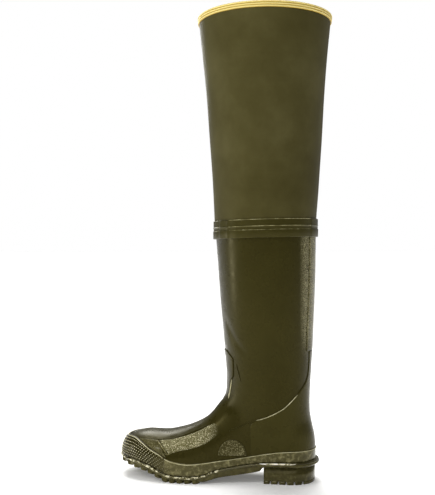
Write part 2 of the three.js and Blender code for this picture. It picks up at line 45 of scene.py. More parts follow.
# the last and the shaft, in the CAD's own sizes
last = {
    "length": 314 * mm,
    "heelBack": 75 * mm,
    "ballWidth": 104 * mm,
    "instepHeight": 117 * mm,
    "heelLift": 36 * mm,
    "ankleHeight": 158 * mm,
    "ankleFront": 65 * mm,
    "ankleBack": 67.5 * mm,
    "ankleWidth": 104 * mm,
    "kneeHeight": 390 * mm,
    "kneeFront": 83.5 * mm,
    "kneeBack": 75.5 * mm,
    "kneeWidth": 151 * mm,
    "wall": 2.2 * mm,
    "bedDrop": 12 * mm,
    "gap": 0.3 * mm,
}
toeTip = last["heelBack"] - last["length"]
halfBall = last["ballWidth"] / 2
toeRound = 0.89 * halfBall
heelRound = 0.36 * last["ballWidth"]
fanX = toeTip + 0.315 * last["length"]  # the section planes turn about this line
fanZ = last["ankleHeight"] + 8 * mm

# foot from above: along, half width and centre as shares of half the ball width
footPlan = [
    (0.0, 0.82, 0.17), (0.127, 0.89, 0.12), (0.22, 0.975, 0.04), (0.293, 1.0, 0.0),
    (0.363, 0.97, -0.04), (0.443, 0.88, -0.09), (0.529, 0.76, -0.11), (0.634, 0.69, -0.09),
    (0.761, 0.7, -0.02), (0.889, 0.72, 0.0), (1.0, 0.72, 0.0),
]
# top of the foot: along, rise as a share of the instep height
vampLine = [
    (0.0, 0.3), (0.003, 0.39), (0.019, 0.48), (0.045, 0.54), (0.086, 0.582), (0.127, 0.603),
    (0.188, 0.607), (0.239, 0.615), (0.293, 0.648), (0.347, 0.692), (0.401, 0.756),
    (0.455, 0.845), (0.505, 1.0),
]
# footbed and ground side of the sole: along, then shares of the heel lift
soleLine = [
    (-0.02, 0.94, 0.72), (0.07, 0.86, 0.56), (0.111, 0.8, 0.49), (0.178, 0.64, 0.33),
    (0.232, 0.46, 0.14), (0.28, 0.32, 0.0), (0.37, 0.28, 0.0), (0.436, 0.34, 0.0),
    (0.487, 0.5, 0.16), (0.529, 0.62, 0.27), (0.634, 0.8, 0.41), (0.73, 0.92, 0.57),
    (0.77, 0.95, 0.76), (1.04, 1.0, 0.76),
]
# back of the heel: share of the ankle height, share of the heel's back
heelLine = [
    (0.1, 0.97), (0.25, 1.0), (0.38, 1.0), (0.46, 0.985), (0.545, 0.947), (0.617, 0.912),
    (0.715, 0.888), (0.86, 0.887),
]
# shaft: level from ankle to knee, then front, back and half width on the way to the knee's size
shaftShape = [
    (0.0, 0.0, 0.0, 0.0), (0.138, 0.08, 0.24, 0.13), (0.246, 0.243, 0.38, 0.3),
    (0.353, 0.35, 0.48, 0.47), (0.565, 0.595, 0.75, 0.74), (0.772, 0.784, 0.94, 0.9),
    (0.95, 0.95, 0.99, 0.98), (1.0, 1.0, 1.0, 1.0), (1.2, 1.0, 1.0, 1.0),
]
shaftLevels = [0, 0.138, 0.246, 0.353, 0.565, 0.772, 0.95, 1.0, 1.12]


def mix(a, b, share):
    return a + (b - a) * share


def ease(low, high, v):
    t = np.clip((v - low) / (high - low), 0, 1)
    return t * t * (3 - 2 * t)


def closing(depth, roundness, power=2.0):  # share of the full width at a depth inside a round edge
    t = np.clip(depth / roundness, 0, 1)
    return (1 - (1 - t) ** power) ** (1 / power)


def smoothLine(points, fine=24):  # centripetal curve through the points
    p = [np.array(q, float) for q in points]
    p = [2 * p[0] - p[1]] + p + [2 * p[-1] - p[-2]]
    out = []
    for i in range(1, len(p) - 2):
        d = [max(float(((p[i + k] - p[i + k - 1]) ** 2).sum()) ** 0.25, 1e-6) for k in (0, 1, 2)]
        rise0 = (p[i] - p[i - 1]) / d[0] - (p[i + 1] - p[i - 1]) / (d[0] + d[1]) + (p[i + 1] - p[i]) / d[1]
        rise1 = (p[i + 1] - p[i]) / d[1] - (p[i + 2] - p[i]) / (d[1] + d[2]) + (p[i + 2] - p[i + 1]) / d[2]
        m0 = rise0 * d[1]
        m1 = rise1 * d[1]
        for t in np.linspace(0, 1, fine, endpoint=False):
            a = p[i] + m0 * t + (3 * (p[i + 1] - p[i]) - 2 * m0 - m1) * t * t
            out.append(a + (m0 + m1 - 2 * (p[i + 1] - p[i])) * t ** 3)
    out.append(p[-2])
    return np.array(out)


def column(table, number):  # a function that reads one column of a table smoothly
    curve = smoothLine([(row[0], row[number]) for row in table])
    return lambda at: np.interp(at, curve[:, 0], curve[:, 1])


planHalf = column(footPlan, 1)
planCentre = column(footPlan, 2)
bedShare = column(soleLine, 1)
groundShare = column(soleLine, 2)
shaftFront = column(shaftShape, 1)
shaftBack = column(shaftShape, 2)
shaftHalf = column(shaftShape, 3)


def alongOf(x):
    return (x - toeTip) / last["length"]


def xAt(along):
    return toeTip + along * last["length"]


def bedZ(x):
    return last["heelLift"] * bedShare(alongOf(x))


def seatZ(x):  # what stands on the sole's bed
    return bedZ(x) + last["gap"]


def groundZ(x):
    return np.maximum(0, last["heelLift"] * groundShare(alongOf(x)))


def flat(z):  # a level height, as a function of x
    return lambda x: x * 0 + z


def shaftAt(z):
    level = (z - last["ankleHeight"]) / (last["kneeHeight"] - last["ankleHeight"])
    front = -mix(last["ankleFront"], last["kneeFront"], shaftFront(level))
    back = mix(last["ankleBack"], last["kneeBack"], shaftBack(level))
    return front, back, mix(last["ankleWidth"], last["kneeWidth"], shaftHalf(level)) / 2


shaftHeights = [mix(last["ankleHeight"], last["kneeHeight"], level) for level in shaftLevels]
frontLine = smoothLine(
    [(xAt(a), r * last["instepHeight"]) for a, r in vampLine]
    + [(-last["ankleFront"] - 3.5 * mm, mix(last["instepHeight"], last["ankleHeight"], 0.42))]
    + [(float(shaftAt(z)[0]), z) for z in shaftHeights]
)
backLine = smoothLine(
    [(b * last["heelBack"], level * last["ankleHeight"]) for level, b in heelLine]
    + [(float(shaftAt(z)[1]), z) for z in shaftHeights]
)


def polar(line):  # angle round the fan line, and reach, of each point that lies in the fan
    x = line[:, 0] - fanX
    z = fanZ - line[:, 1]
    keep = (x > -5 * mm) & (z > -5 * mm)
    angle = np.arctan2(x[keep], z[keep])
    order = np.argsort(angle)
    return angle[order], np.hypot(x[keep], z[keep])[order]


def lowerLine(drop):
    xs = np.linspace(toeTip - 5 * mm, heelLine[0][1] * last["heelBack"], 200)
    bottom = np.stack([xs, bedZ(xs) - drop], 1)
    back = backLine[backLine[:, 1] > bedZ(last["heelBack"]) - drop]
    return np.concatenate([bottom, back])


nearAngle, nearReach = polar(frontLine)
farAngle, farReach = polar(lowerLine(last["bedDrop"]))
cutAngle, cutReach = polar(lowerLine(-last["gap"]))
soften = 65  # steps of 400 each way; rounds the heel's corner, so that no fold runs up to the instep
window = np.hanning(2 * soften + 1)
evenAngle = np.linspace(farAngle[0], farAngle[-1], 400)
farReach = np.pad(np.interp(evenAngle, farAngle, farReach), soften, mode="edge")
farReach = np.convolve(farReach, window / window.sum(), mode="valid")
farAngle = evenAngle


def topAt(x):  # vamp top over the foot
    return np.interp(x, frontLine[:, 0], frontLine[:, 1])


def frontAt(z):
    return np.interp(z, frontLine[:, 1], frontLine[:, 0])


def backAt(z):
    return np.interp(z, backLine[:, 1], backLine[:, 0])


def rayOf(x, z):  # turn of the section plane, run along it, its near and far ends
    foot = (x <= fanX) & (z < fanZ)
    leg = z >= fanZ
    angle = np.arctan2(x - fanX, np.maximum(fanZ - z, 1e-9))
    turn = np.where(foot, 0.0, np.where(leg, 1.0, angle / (math.pi / 2)))
    run = np.where(foot, fanZ - z, np.where(leg, x - fanX, np.hypot(x - fanX, z - fanZ)))
    fanNear = np.interp(angle, nearAngle, nearReach)
    fanFar = np.interp(angle, farAngle, farReach)
    near = np.where(foot, fanZ - topAt(x), np.where(leg, frontAt(z) - fanX, fanNear))
    footFar = fanZ - bedZ(x) + last["bedDrop"]
    far = np.where(foot, footFar, np.where(leg, backAt(z) - fanX, fanFar))
    return turn, run, near, far


def footHalf(x):
    return halfBall * planHalf(alongOf(x)) * closing(x - toeTip, toeRound, 2.2)


def footCentre(x):
    return halfBall * planCentre(alongOf(x))


def widthAt(x, z):  # middle and half width of the last at a point of its side view
    turn, run, near, far = rayOf(x, z)
    depth = far - near
    ankle = last["ankleHeight"]
    legShare = ease(0.25 * ankle, ankle, z) * ease(fanX, -last["ankleFront"] + 10 * mm, x)
    front, back, half = shaftAt(np.maximum(z, ankle))
    legHalf = np.where(z < ankle, last["ankleWidth"] / 2, half)
    wide = mix(footHalf(x), legHalf, legShare)
    low = mix(heelRound, (last["ankleFront"] + last["ankleBack"]) / 2, ease(0.25 * ankle, ankle, z))
    backRound = np.where(z < ankle, low, (back - front) / 2)
    power = mix(2.3, 2.0, turn)
    half = wide * closing(run - near, depth * mix(0.62, 0.5, turn), power) * closing(backAt(z) - x, backRound)
    return footCentre(x) * (1 - legShare), half


print("last worked out")


# mesh tools
def outward(points):  # outward direction at each point of a grid
    normal = np.cross(np.gradient(points, axis=1), np.gradient(points, axis=0))
    size = np.linalg.norm(normal, axis=2, keepdims=True)
    return normal / np.maximum(size, 1e-12)


def layGrid(bm, points):  # a grid whose corners are set on the given points
    nu, nv = points.shape[:2]
    made = bmesh.ops.create_grid(bm, x_segments=nu - 1, y_segments=nv - 1, size=1.0)["verts"]
    for v in made:
        i = round((v.co.x + 1) / 2 * (nu - 1))
        j = round((v.co.y + 1) / 2 * (nv - 1))
        v.co = points[i, j]
    return made


def finishPiece(bm, name, stands, material, closed=True):
    bmesh.ops.remove_doubles(bm, verts=bm.verts, dist=2e-6)
    bmesh.ops.dissolve_degenerate(bm, edges=bm.edges, dist=1e-6)
    if closed:
        bmesh.ops.holes_fill(bm, edges=[edge for edge in bm.edges if edge.is_boundary], sides=0)
        bmesh.ops.recalc_face_normals(bm, faces=bm.faces)
        if bm.calc_volume(signed=True) < 0:  # a thin plate can come out inside out
            bmesh.ops.reverse_faces(bm, faces=bm.faces)
    bmesh.ops.delete(bm, geom=[edge for edge in bm.edges if edge.is_wire], context="EDGES")
    mesh = bpy.data.meshes.new(name)
    bm.to_mesh(mesh)
    bm.free()
    mesh.polygons.foreach_set("use_smooth", [True] * len(mesh.polygons))
    piece = bpy.data.objects.new(name, mesh)
    bpy.context.scene.collection.objects.link(piece)
    mesh.materials.append(material)
    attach(piece, "root")
    if stands:
        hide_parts(*stands)
    print(name, len(mesh.polygons), "faces")
    return piece


def solidify(piece, thickness, inside):  # wall grown inward, with its own material inside
    mod = piece.modifiers.new("wall", "SOLIDIFY")
    mod.thickness = thickness
    mod.offset = -1
    mod.use_even_offset = True
    piece.data.materials.append(inside)
    mod.material_offset = 1


def plate(bm, base, normals, gap, thickness):  # closed layer over a grid, thickness 0 at its edges
    top = base + normals * (gap + thickness[..., None])
    under = base + normals * gap
    layGrid(bm, top)
    layGrid(bm, under)


def edged(count, length, edge, profile=3):  # stations 0..1 with a rounded edge at both ends
    turn = [(1 - math.cos(math.pi / 2 * k / profile)) for k in range(profile + 1)]
    inner = min(edge / length, 0.45)
    low = [inner * t for t in turn]
    rise = [math.sqrt(max(0.0, 1 - (1 - t) ** 2)) for t in turn]
    middle = list(np.linspace(inner, 1 - inner, count)[1:-1])
    stations = low + middle + [1 - s for s in reversed(low)]
    heights = rise + [1.0] * len(middle) + list(reversed(rise))
    return np.array(stations), np.array(heights)


# soft troughs of the worn rubber: side-view points in mm, half width and depth in mm
creases = [
    {"line": [(-66, 262), (-55, 240), (-46, 223), (-31, 207)], "width": 4.5, "depth": 2.3},
    {"line": [(-66, 150), (-48, 146), (-20, 140), (10, 143)], "width": 9, "depth": 0.5},
    {"line": [(66, 98), (35, 84), (0, 74), (-22, 72)], "width": 9, "depth": 0.7},
]


def relief(x, z, side):
    total = np.zeros(np.broadcast(x, z).shape)
    for crease in creases:
        line = smoothLine([(a * mm, b * mm) for a, b in crease["line"]], 8)
        reach = np.linspace(0, 1, len(line))
        away = (x[..., None] - line[:, 0]) ** 2 + (z[..., None] - line[:, 1]) ** 2
        ends = np.sqrt(np.sin(math.pi * (0.02 + 0.96 * reach)))
        near = (np.exp(-away / (crease["width"] * mm) ** 2) * ends).max(-1)
        total = total + near * crease["depth"] * mm
    return total * np.where(side < 0, 1.0, 0.6)


def surfacePoint(x, z, side):  # the last's surface at a point of its side view, side -1 outer, 1 inner
    middle, half = widthAt(x, z)
    half = half - relief(x, z, side) * np.minimum(1, half / (20 * mm))
    return np.stack([x, middle + side * half, z], -1)


def surfaceNormal(x, z, side):
    step = 0.5 * mm
    alongX = surfacePoint(x + step, z, side) - surfacePoint(x - step, z, side)
    alongZ = surfacePoint(x, z + step, side) - surfacePoint(x, z - step, side)
    normal = np.cross(alongX, alongZ) * -side
    return normal / np.linalg.norm(normal, axis=-1, keepdims=True)


def wrapPoints(turns, levelLow, levelHigh, shares):  # grid round the foot, between two heights that follow x
    s = np.array(turns)[:, None] * np.ones(len(shares))[None, :]
    b = np.ones(len(turns))[:, None] * np.array(shares)[None, :]
    run = np.abs(((s + 1) % 2) - 1)  # 0 at the toe, 1 at the heel, back to 0 on the inner side
    side = np.where((s % 2) <= 1, -1.0, 1.0)
    z = np.full(s.shape, 0.045)
    for k in range(12):
        x = mix(frontAt(z), backAt(z), (1 - np.cos(math.pi * run)) / 2)
        z = 0.5 * z + 0.5 * mix(levelLow(x), levelHigh(x), b)
    x = mix(frontAt(z), backAt(z), (1 - np.cos(math.pi * run)) / 2)
    return surfacePoint(x, z, side)


def sweepBead(bm, centre, normal, width, height, lift, taper=7 * mm):  # rounded thread that lies on a surface
    along = np.gradient(centre, axis=0)
    along = along / np.linalg.norm(along, axis=1, keepdims=True)
    across = np.cross(normal, along)
    reach = np.concatenate([[0], np.cumsum(np.linalg.norm(np.diff(centre, axis=0), axis=1))])
    size = np.sqrt(np.clip(np.minimum(reach, reach[-1] - reach) / taper, 0, 1))[:, None, None]
    a = np.linspace(0, 2 * math.pi, 13)[None, :, None]
    ring = centre[:, None] + across[:, None] * np.cos(a) * size * width / 2
    layGrid(bm, ring + normal[:, None] * (lift + np.sin(a) * size * height))


def sideBead(bm, rows, side, width, height, lift, count=70):  # bead along side-view points in mm
    curve = smoothLine([(a * mm, b * mm) for a, b in rows])
    reach = np.concatenate([[0], np.cumsum(np.hypot(*np.diff(curve, axis=0).T))])
    at = np.linspace(0, reach[-1], count)
    x = np.interp(at, reach, curve[:, 0])
    z = np.interp(at, reach, curve[:, 1])
    sweepBead(bm, surfacePoint(x, z, side), surfaceNormal(x, z, side), width, height, lift)


def lastGrid(footSteps, fanSteps, legSteps, around, top):
    c = np.linspace(0, 1, footSteps, endpoint=False)
    footX = toeTip + (fanX - toeTip) * (1 - np.cos(c * math.pi / 2))
    angles = np.linspace(0, math.pi / 2, fanSteps, endpoint=False)
    legZ = np.linspace(fanZ, top, legSteps)
    share = (1 - np.cos(np.linspace(0, math.pi, around + 1))) / 2
    rows = []
    for x in footX:
        near = fanZ - topAt(x)
        cut = fanZ - bedZ(x) - last["gap"]
        run = mix(near, cut, share)
        rows.append((np.full(share.shape, x), fanZ - run))
    for a in angles:
        near = np.interp(a, nearAngle, nearReach)
        cut = np.interp(a, cutAngle, cutReach)
        run = mix(near, cut, share)
        rows.append((fanX + np.sin(a) * run, fanZ - np.cos(a) * run))
    for z in legZ:
        run = mix(frontAt(z), backAt(z), share)
        rows.append((run, np.full(share.shape, z)))
    x = np.array([r[0] for r in rows])
    z = np.array([r[1] for r in rows])
    outer = surfacePoint(x, z, -1)
    inner = surfacePoint(x, z, 1)
    return np.concatenate([outer[:, ::-1], inner[:, 1:]], 1)


# materials
def linear(tone):  # sRGB hex to linear colour
    parts = [int(tone[i:i + 2], 16) / 255 for i in (1, 3, 5)]
    return [c / 12.92 if c <= 0.04045 else ((c + 0.055) / 1.055) ** 2.4 for c in parts] + [1.0]


def addNode(tree, kind, settings=None, links=None):  # one node with its settings, inputs and incoming links
    node = tree.nodes.new("ShaderNode" + kind)
    for key, value in (settings or {}).items():
        if isinstance(key, str) and hasattr(node, key):
            setattr(node, key, value)
        else:
            node.inputs[key].default_value = value
    for key, source in (links or {}).items():
        tree.links.new(source, node.inputs[key])
    return node


def startMaterial(name, roughness, ior, specular, coat=0.0, coatRoughness=0.3, sheen=0.0):
    material = bpy.data.materials.new(name)
    material.use_nodes = True
    tree = material.node_tree
    shader = tree.nodes["Principled BSDF"]
    plain = {"Roughness": roughness, "IOR": ior, "Specular IOR Level": specular, "Coat Weight": coat,
             "Coat Roughness": coatRoughness, "Sheen Weight": sheen, "Specular Tint": linear("#fff0a0")}
    for socket, value in plain.items():
        shader.inputs[socket].default_value = value
    return material, tree, shader, addNode(tree, "TexCoord").outputs["Object"]


def ramp(tree, source, stops):  # colour or grey ramp from (place, value) stops
    node = addNode(tree, "ValToRGB", None, {"Fac": source})
    while len(node.color_ramp.elements) < len(stops):
        node.color_ramp.elements.new(0.5)
    for element, (at, tone) in zip(node.color_ramp.elements, stops):
        element.position = at
        element.color = linear(tone) if isinstance(tone, str) else (tone, tone, tone, 1)
    return node.outputs["Color"]


def roughen(tree, shader, layers):  # bumps of (height, strength, distance), each over the one before
    under = {}
    for height, strength, distance in layers:
        size = {"Strength": strength, "Distance": distance}
        bump = addNode(tree, "Bump", size, {"Height": height, **under})
        under = {"Normal": bump.outputs["Normal"]}
    tree.links.new(bump.outputs["Normal"], shader.inputs["Normal"])


skin = {
    "bare": "#2a260b",  # plain dark rubber that a fade blends into along X; on the sole rim it ends the painted glints
    "glintSpeck": "#bab38a",  # pale specks up the back of the calf: painted glints on its stippled grain
    "glintZone": {"X": (54 * mm, 62 * mm), "Z": (200 * mm, 240 * mm)},  # where that zone sets in
    "wear": 60.0,  # scales of the wear and of the soft waves
    "wave": 38.0,
    "waveDepth": 1.2 * mm,
}


def rubberMaterial(name, tones, roughness, grain, depth, mottle=14.0, speckGlints=0.0, coat=0.06, glintZone=False,
                   fade=None, spread=(0.3, 0.5, 0.72), shine=0.17):
    # compression-moulded boot rubber: matt-bright skin, blurred highlights, faint cloudy bloom
    material, tree, shader, at = startMaterial(name, roughness, 1.52, shine, coat, 0.18)
    cloud = addNode(tree, "TexNoise", {"Scale": mottle, "Detail": 5.0, "Roughness": 0.6}, {"Vector": at})
    fine = addNode(tree, "TexNoise", {"Scale": 1 / grain, "Detail": 3.0, "Roughness": 0.55}, {"Vector": at})
    axes = addNode(tree, "SeparateXYZ", None, {"Vector": at})
    over = []
    # pale specks from the fine grain noise: painted glints on stippled rubber
    if speckGlints:
        over.append((tones[2], ramp(tree, fine.outputs["Fac"], [(0.52, 0.0), (0.68, speckGlints)])))
    if fade:  # the tones blend into plain dark rubber between these two places along X
        plain = addNode(tree, "MapRange", {"From Min": fade[0], "From Max": fade[1]},
                        {"Value": axes.outputs["X"]})
        over.append((skin["bare"], plain.outputs[0]))
    if glintZone:  # pale specks along the back of the calf: painted glints standing in for highlights on its stippled skin
        glintSpot = ramp(tree, fine.outputs["Fac"], [(0.5, 0.0), (0.62, 1.0)])
        for axis, (low, high) in skin["glintZone"].items():
            inside = addNode(tree, "MapRange", {"From Min": low, "From Max": high},
                             {"Value": axes.outputs[axis]})
            both = addNode(tree, "Math", {"operation": "MULTIPLY"}, {0: glintSpot, 1: inside.outputs[0]})
            glintSpot = both.outputs[0]
        over.append((skin["glintSpeck"], glintSpot))
    tone = ramp(tree, cloud.outputs["Fac"], list(zip(spread, tones)))
    for colour, share in over:
        mixed = addNode(tree, "Mix", {"data_type": "RGBA", "B": linear(colour)}, {"A": tone, "Factor": share})
        tone = mixed.outputs[2]
    tree.links.new(tone, shader.inputs["Base Color"])
    wear = addNode(tree, "TexNoise", {"Scale": skin["wear"], "Detail": 4.0}, {"Vector": at})
    gloss = addNode(tree, "MapRange", {"From Min": 0.3, "From Max": 0.7, "To Min": roughness - 0.06,
                                       "To Max": roughness + 0.1}, {"Value": wear.outputs["Fac"]})
    tree.links.new(gloss.outputs["Result"], shader.inputs["Roughness"])
    wave = addNode(tree, "TexNoise", {"Scale": skin["wave"], "Detail": 2.0}, {"Vector": at})
    roughen(tree, shader, [(wave.outputs["Fac"], 0.25, skin["waveDepth"]), (fine.outputs["Fac"], 0.6, depth)])
    return material


def clothMaterial():
    # rubber-coated cotton duck: dull film over a plain weave that just prints through
    material, tree, shader, at = startMaterial("thighCloth", 0.5, 1.5, 0.09, sheen=0.02)
    cloud = addNode(tree, "TexNoise", {"Scale": 9.0, "Detail": 6.0, "Roughness": 0.62}, {"Vector": at})
    tone = ramp(tree, cloud.outputs["Fac"], [(0.3, "#3a3519"), (0.52, "#454023"), (0.74, "#514c2e")])
    tree.links.new(tone, shader.inputs["Base Color"])
    thread = 0.9 * mm  # drawn a little coarser than the real yarn so that it shows
    bands = []
    for axis in ("X", "Y", "Z"):
        wave = addNode(tree, "TexWave", {"wave_type": "BANDS", "bands_direction": axis,
                                         "Scale": 1 / thread / 20, "Distortion": 0.6}, {"Vector": at})
        bands.append(wave.outputs["Fac"])
    across = addNode(tree, "Math", {"operation": "MULTIPLY"}, {0: bands[0], 1: bands[1]})
    weave = addNode(tree, "Math", {"operation": "ADD"}, {0: across.outputs[0], 1: bands[2]})
    film = addNode(tree, "TexNoise", {"Scale": 700.0, "Detail": 3.0}, {"Vector": at})
    roughen(tree, shader, [(weave.outputs[0], 0.12, 0.12 * mm), (film.outputs["Fac"], 0.3, 0.15 * mm)])
    return material


def tapeMaterial(low, high, ribs):
    # calendered yellow rubber tape; the ramp paints its grooves darker gold (painted shade) and its crests
    # pale (painted highlight)
    material, tree, shader, at = startMaterial("collarTape", 0.5, 1.5, 0.45, 0.0, 0.2)
    axes = addNode(tree, "SeparateXYZ", None, {"Vector": at})
    share = addNode(tree, "MapRange", {"From Min": low, "From Max": high, "To Min": 0.0, "To Max": ribs},
                    {"Value": axes.outputs["Z"]})
    saw = addNode(tree, "Math", {"operation": "FRACT"}, {0: share.outputs["Result"]}).outputs[0]
    shadedGroove, flank, litCrest = "#a38232", "#c2a349", "#e9db94"
    stops = [(0.0, shadedGroove), (0.18, flank), (0.42, litCrest), (0.6, litCrest), (0.84, flank), (1.0, shadedGroove)]
    tone = ramp(tree, saw, stops)
    tree.links.new(tone, shader.inputs["Base Color"])
    grit = addNode(tree, "TexNoise", {"Scale": 900.0, "Detail": 2.0}, {"Vector": at})
    roughen(tree, shader, [(grit.outputs["Fac"], 0.25, 0.1 * mm)])
    return material


def feltMaterial():
    # pressed wool felt: dull, no highlight, short stray fibres
    material, tree, shader, at = startMaterial("feltInsole", 0.95, 1.5, 0.2, sheen=0.3)
    fibre = addNode(tree, "TexNoise", {"Scale": 500.0, "Detail": 6.0}, {"Vector": at})
    tone = ramp(tree, fibre.outputs["Fac"], [(0.3, "#5c5844"), (0.7, "#7d7962")])
    tree.links.new(tone, shader.inputs["Base Color"])
    roughen(tree, shader, [(fibre.outputs["Fac"], 0.6, 0.3 * mm)])
    return material


def liningMaterial():
    # plain cotton lining, grey-khaki and dull, its weave drawn coarser than the real 0.5 mm
    material, tree, shader, at = startMaterial("legLining", 0.9, 1.5, 0.15, sheen=0.2)
    cloud = addNode(tree, "TexNoise", {"Scale": 30.0, "Detail": 5.0}, {"Vector": at})
    tone = ramp(tree, cloud.outputs["Fac"], [(0.3, "#6f684c"), (0.7, "#857d5f")])
    tree.links.new(tone, shader.inputs["Base Color"])
    weave = addNode(tree, "TexVoronoi", {"Scale": 900.0}, {"Vector": at})
    roughen(tree, shader, [(weave.outputs["Distance"], 0.4, 0.2 * mm)])
    return material


legLining = liningMaterial()
# the calf rubber carries pale specks up the back of the calf: painted glints on its stippled grain
calfRubber = rubberMaterial("calfRubber", ("#27230a", "#2a260b", "#2e2a0e"), 0.27, 0.9 * mm, 0.06 * mm,
                            coat=0.0, glintZone=True)
counterRubber = rubberMaterial("counterRubber", ("#2f2b0f", "#332f12", "#383417"), 0.27, 0.9 * mm, 0.06 * mm,
                               coat=0.0)
bandRubber = rubberMaterial("bandRubber", ("#2f2a10", "#332f12", "#393518"), 0.36, 0.8 * mm, 0.08 * mm)
soleRubber = rubberMaterial("soleRubber", ("#393519", "#454023", "#5c5735"), 0.17, 1.1 * mm, 0.15 * mm,
                            mottle=130.0, coat=0.2)
foxingRubber = rubberMaterial("foxingRubber", ("#3d391d", "#4d482a", "#878159"), 0.18, 1.6 * mm, 0.45 * mm,
                              mottle=170.0, coat=0.2)
bumperRubber = rubberMaterial("bumperRubber", ("#3d391d", "#4d482a", "#878159"), 0.2, 1.6 * mm, 0.3 * mm,
                              mottle=170.0, coat=0.15, fade=(-135 * mm, -180 * mm))
gripRubber = rubberMaterial("gripRubber", ("#221e08", "#343015", "#605b38"), 0.2, 1.2 * mm, 0.1 * mm,
                            mottle=120.0, coat=0.2)
# pale rubbers for raised threads and seams: painted highlights along their crests
edgeGlintRubber = rubberMaterial("edgeGlintRubber", ("#3a3515", "#77714a", "#b3ad82"), 0.16, 1.2 * mm, 0.1 * mm,
                            mottle=90.0, coat=0.3)
# sole rim: its near-white mottled spots are painted glints along the rounded edge, ended towards the shank by
# the fade
rimGlintRubber = rubberMaterial("rimGlintRubber", ("#2b270d", "#5d5833", "#e0dabb"), 0.12, 1.2 * mm, 0.1 * mm,
                           mottle=150.0, coat=0.6, spread=(0.44, 0.52, 0.58), shine=0.7,
                           fade=(-78 * mm, -60 * mm))
seamGlintRubber = rubberMaterial("seamGlintRubber", ("#8f8963", "#b5af88", "#ded8b4"), 0.2, 1.2 * mm, 0.1 * mm,
                            mottle=60.0, coat=0.2)
# near-white rubber for the heel ledge's bead: a painted glint
glintRubber = rubberMaterial("glintRubber", ("#6b6643", "#e6e0bf", "#fffdf2"), 0.12, 1.2 * mm, 0.1 * mm,
                             mottle=150.0, coat=0.8, spread=(0.4, 0.47, 0.53), shine=0.8)
# pale tips of the toe pyramids: painted glints
tipGlintRubber = rubberMaterial("tipGlintRubber", ("#8f8963", "#cfc8a2", "#fff8dc"), 0.16, 1.2 * mm, 0.1 * mm,
                           mottle=90.0, coat=0.3, shine=0.5)
# stippled overlays: the grain bump is real, and the pale specks on it are painted glints
panelRubber = rubberMaterial("panelRubber", ("#3b371c", "#5b5737", "#e2dbb6"), 0.3, 1.5 * mm, 1.0 * mm,
                             mottle=20.0, speckGlints=0.9, coat=0.0, fade=(-90 * mm, -74 * mm),
                             spread=(0.2, 0.6, 1.0))
wingRubber = rubberMaterial("wingRubber", ("#332f16", "#403c21", "#8a8460"), 0.26, 1.5 * mm, 0.8 * mm,
                            mottle=20.0, speckGlints=0.7, coat=0.1)
patchRubber = rubberMaterial("patchRubber", ("#2b2710", "#38341a", "#a8a17b"), 0.34, 1.7 * mm, 1.1 * mm,
                             mottle=20.0, speckGlints=0.75, coat=0.0, spread=(0.2, 0.5, 1.0))
thighCloth = clothMaterial()
feltInsole = feltMaterial()


upper = {"footSteps": 110, "fanSteps": 70, "legSteps": 70, "around": 56, "kneeLap": 12 * mm}


def makeUpper():
    steps = [upper["footSteps"], upper["fanSteps"], upper["legSteps"], upper["around"]]
    bm = bmesh.new()
    layGrid(bm, lastGrid(*steps, last["kneeHeight"] + upper["kneeLap"]))
    piece = finishPiece(bm, "upperShell", ["upper"], calfRubber, closed=False)
    solidify(piece, last["wall"], legLining)


# thigh leg between knee and top: level, then front, back and half width on the way to the top's size
thighShape = [
    (0.0, 0.0, 0.0, 0.0), (0.07, 0.02, 0.03, 0.03), (0.197, 0.1, 0.17, 0.18),
    (0.406, 0.29, 0.38, 0.39), (0.614, 0.49, 0.55, 0.58), (0.823, 0.77, 0.76, 0.8),
    (1.0, 1.0, 1.0, 1.0),
]
thigh = {
    "top": 740 * mm,
    "front": 111.5 * mm,
    "back": 101.5 * mm,
    "width": 205 * mm,
    "wall": 1.5 * mm,
    "around": 144,
    "levels": 60,
    "slack": 0.5 * mm,  # how far the cloth strays from a true cone
    "kneeTilt": 0.024,  # the joint at the knee sits lower at the front
}
thighFront = column(thighShape, 1)
thighBack = column(thighShape, 2)
thighHalf = column(thighShape, 3)


def thighPoint(z, angle, distance):  # angle 0 at the front, growing over the outer side
    level = (z - last["kneeHeight"]) / (thigh["top"] - last["kneeHeight"])
    lap = last["gap"] + thigh["wall"]
    front = mix(last["kneeFront"] + lap, thigh["front"], thighFront(level)) + distance
    back = mix(last["kneeBack"] + lap, thigh["back"], thighBack(level)) + distance
    half = mix(last["kneeWidth"] / 2 + lap, thigh["width"] / 2, thighHalf(level)) + distance
    x = (back - front) / 2 - (back + front) / 2 * np.cos(angle)
    tilt = thigh["kneeTilt"] * x * (1 - ease(0.43, 0.55, z))
    return np.stack([x, -half * np.sin(angle), z + tilt], -1)


def ringGrid(profile, around):  # closed ring of one cross-section, given as heights and distances
    angles = np.linspace(0, 2 * math.pi, around + 1)[:, None]
    z = np.array([p[0] for p in profile])[None, :]
    d = np.array([p[1] for p in profile])[None, :]
    z, d, angles = np.broadcast_arrays(z, d, angles)
    return thighPoint(z, angles, d), angles


def makeThigh():
    angles = np.linspace(0, 2 * math.pi, thigh["around"] + 1)[:, None]
    z = np.linspace(last["kneeHeight"] + 1 * mm, thigh["top"] - 1.6 * mm, thigh["levels"])[None, :]
    z, angles = np.broadcast_arrays(z, angles)
    fade = ease(0, 0.08, z - last["kneeHeight"] - 0.02) * ease(0, 0.05, thigh["top"] - 0.015 - z)
    stray = np.sin(2 * angles + z * 17) * np.sin(z * 31 + 1) + 0.6 * np.sin(3 * angles - z * 23 + 2)
    bm = bmesh.new()
    layGrid(bm, thighPoint(z, angles, thigh["slack"] * (0.4 * stray - 0.6) * fade))
    piece = finishPiece(bm, "thighLeg", ["thigh_leg"], thighCloth, closed=False)
    solidify(piece, thigh["wall"], legLining)


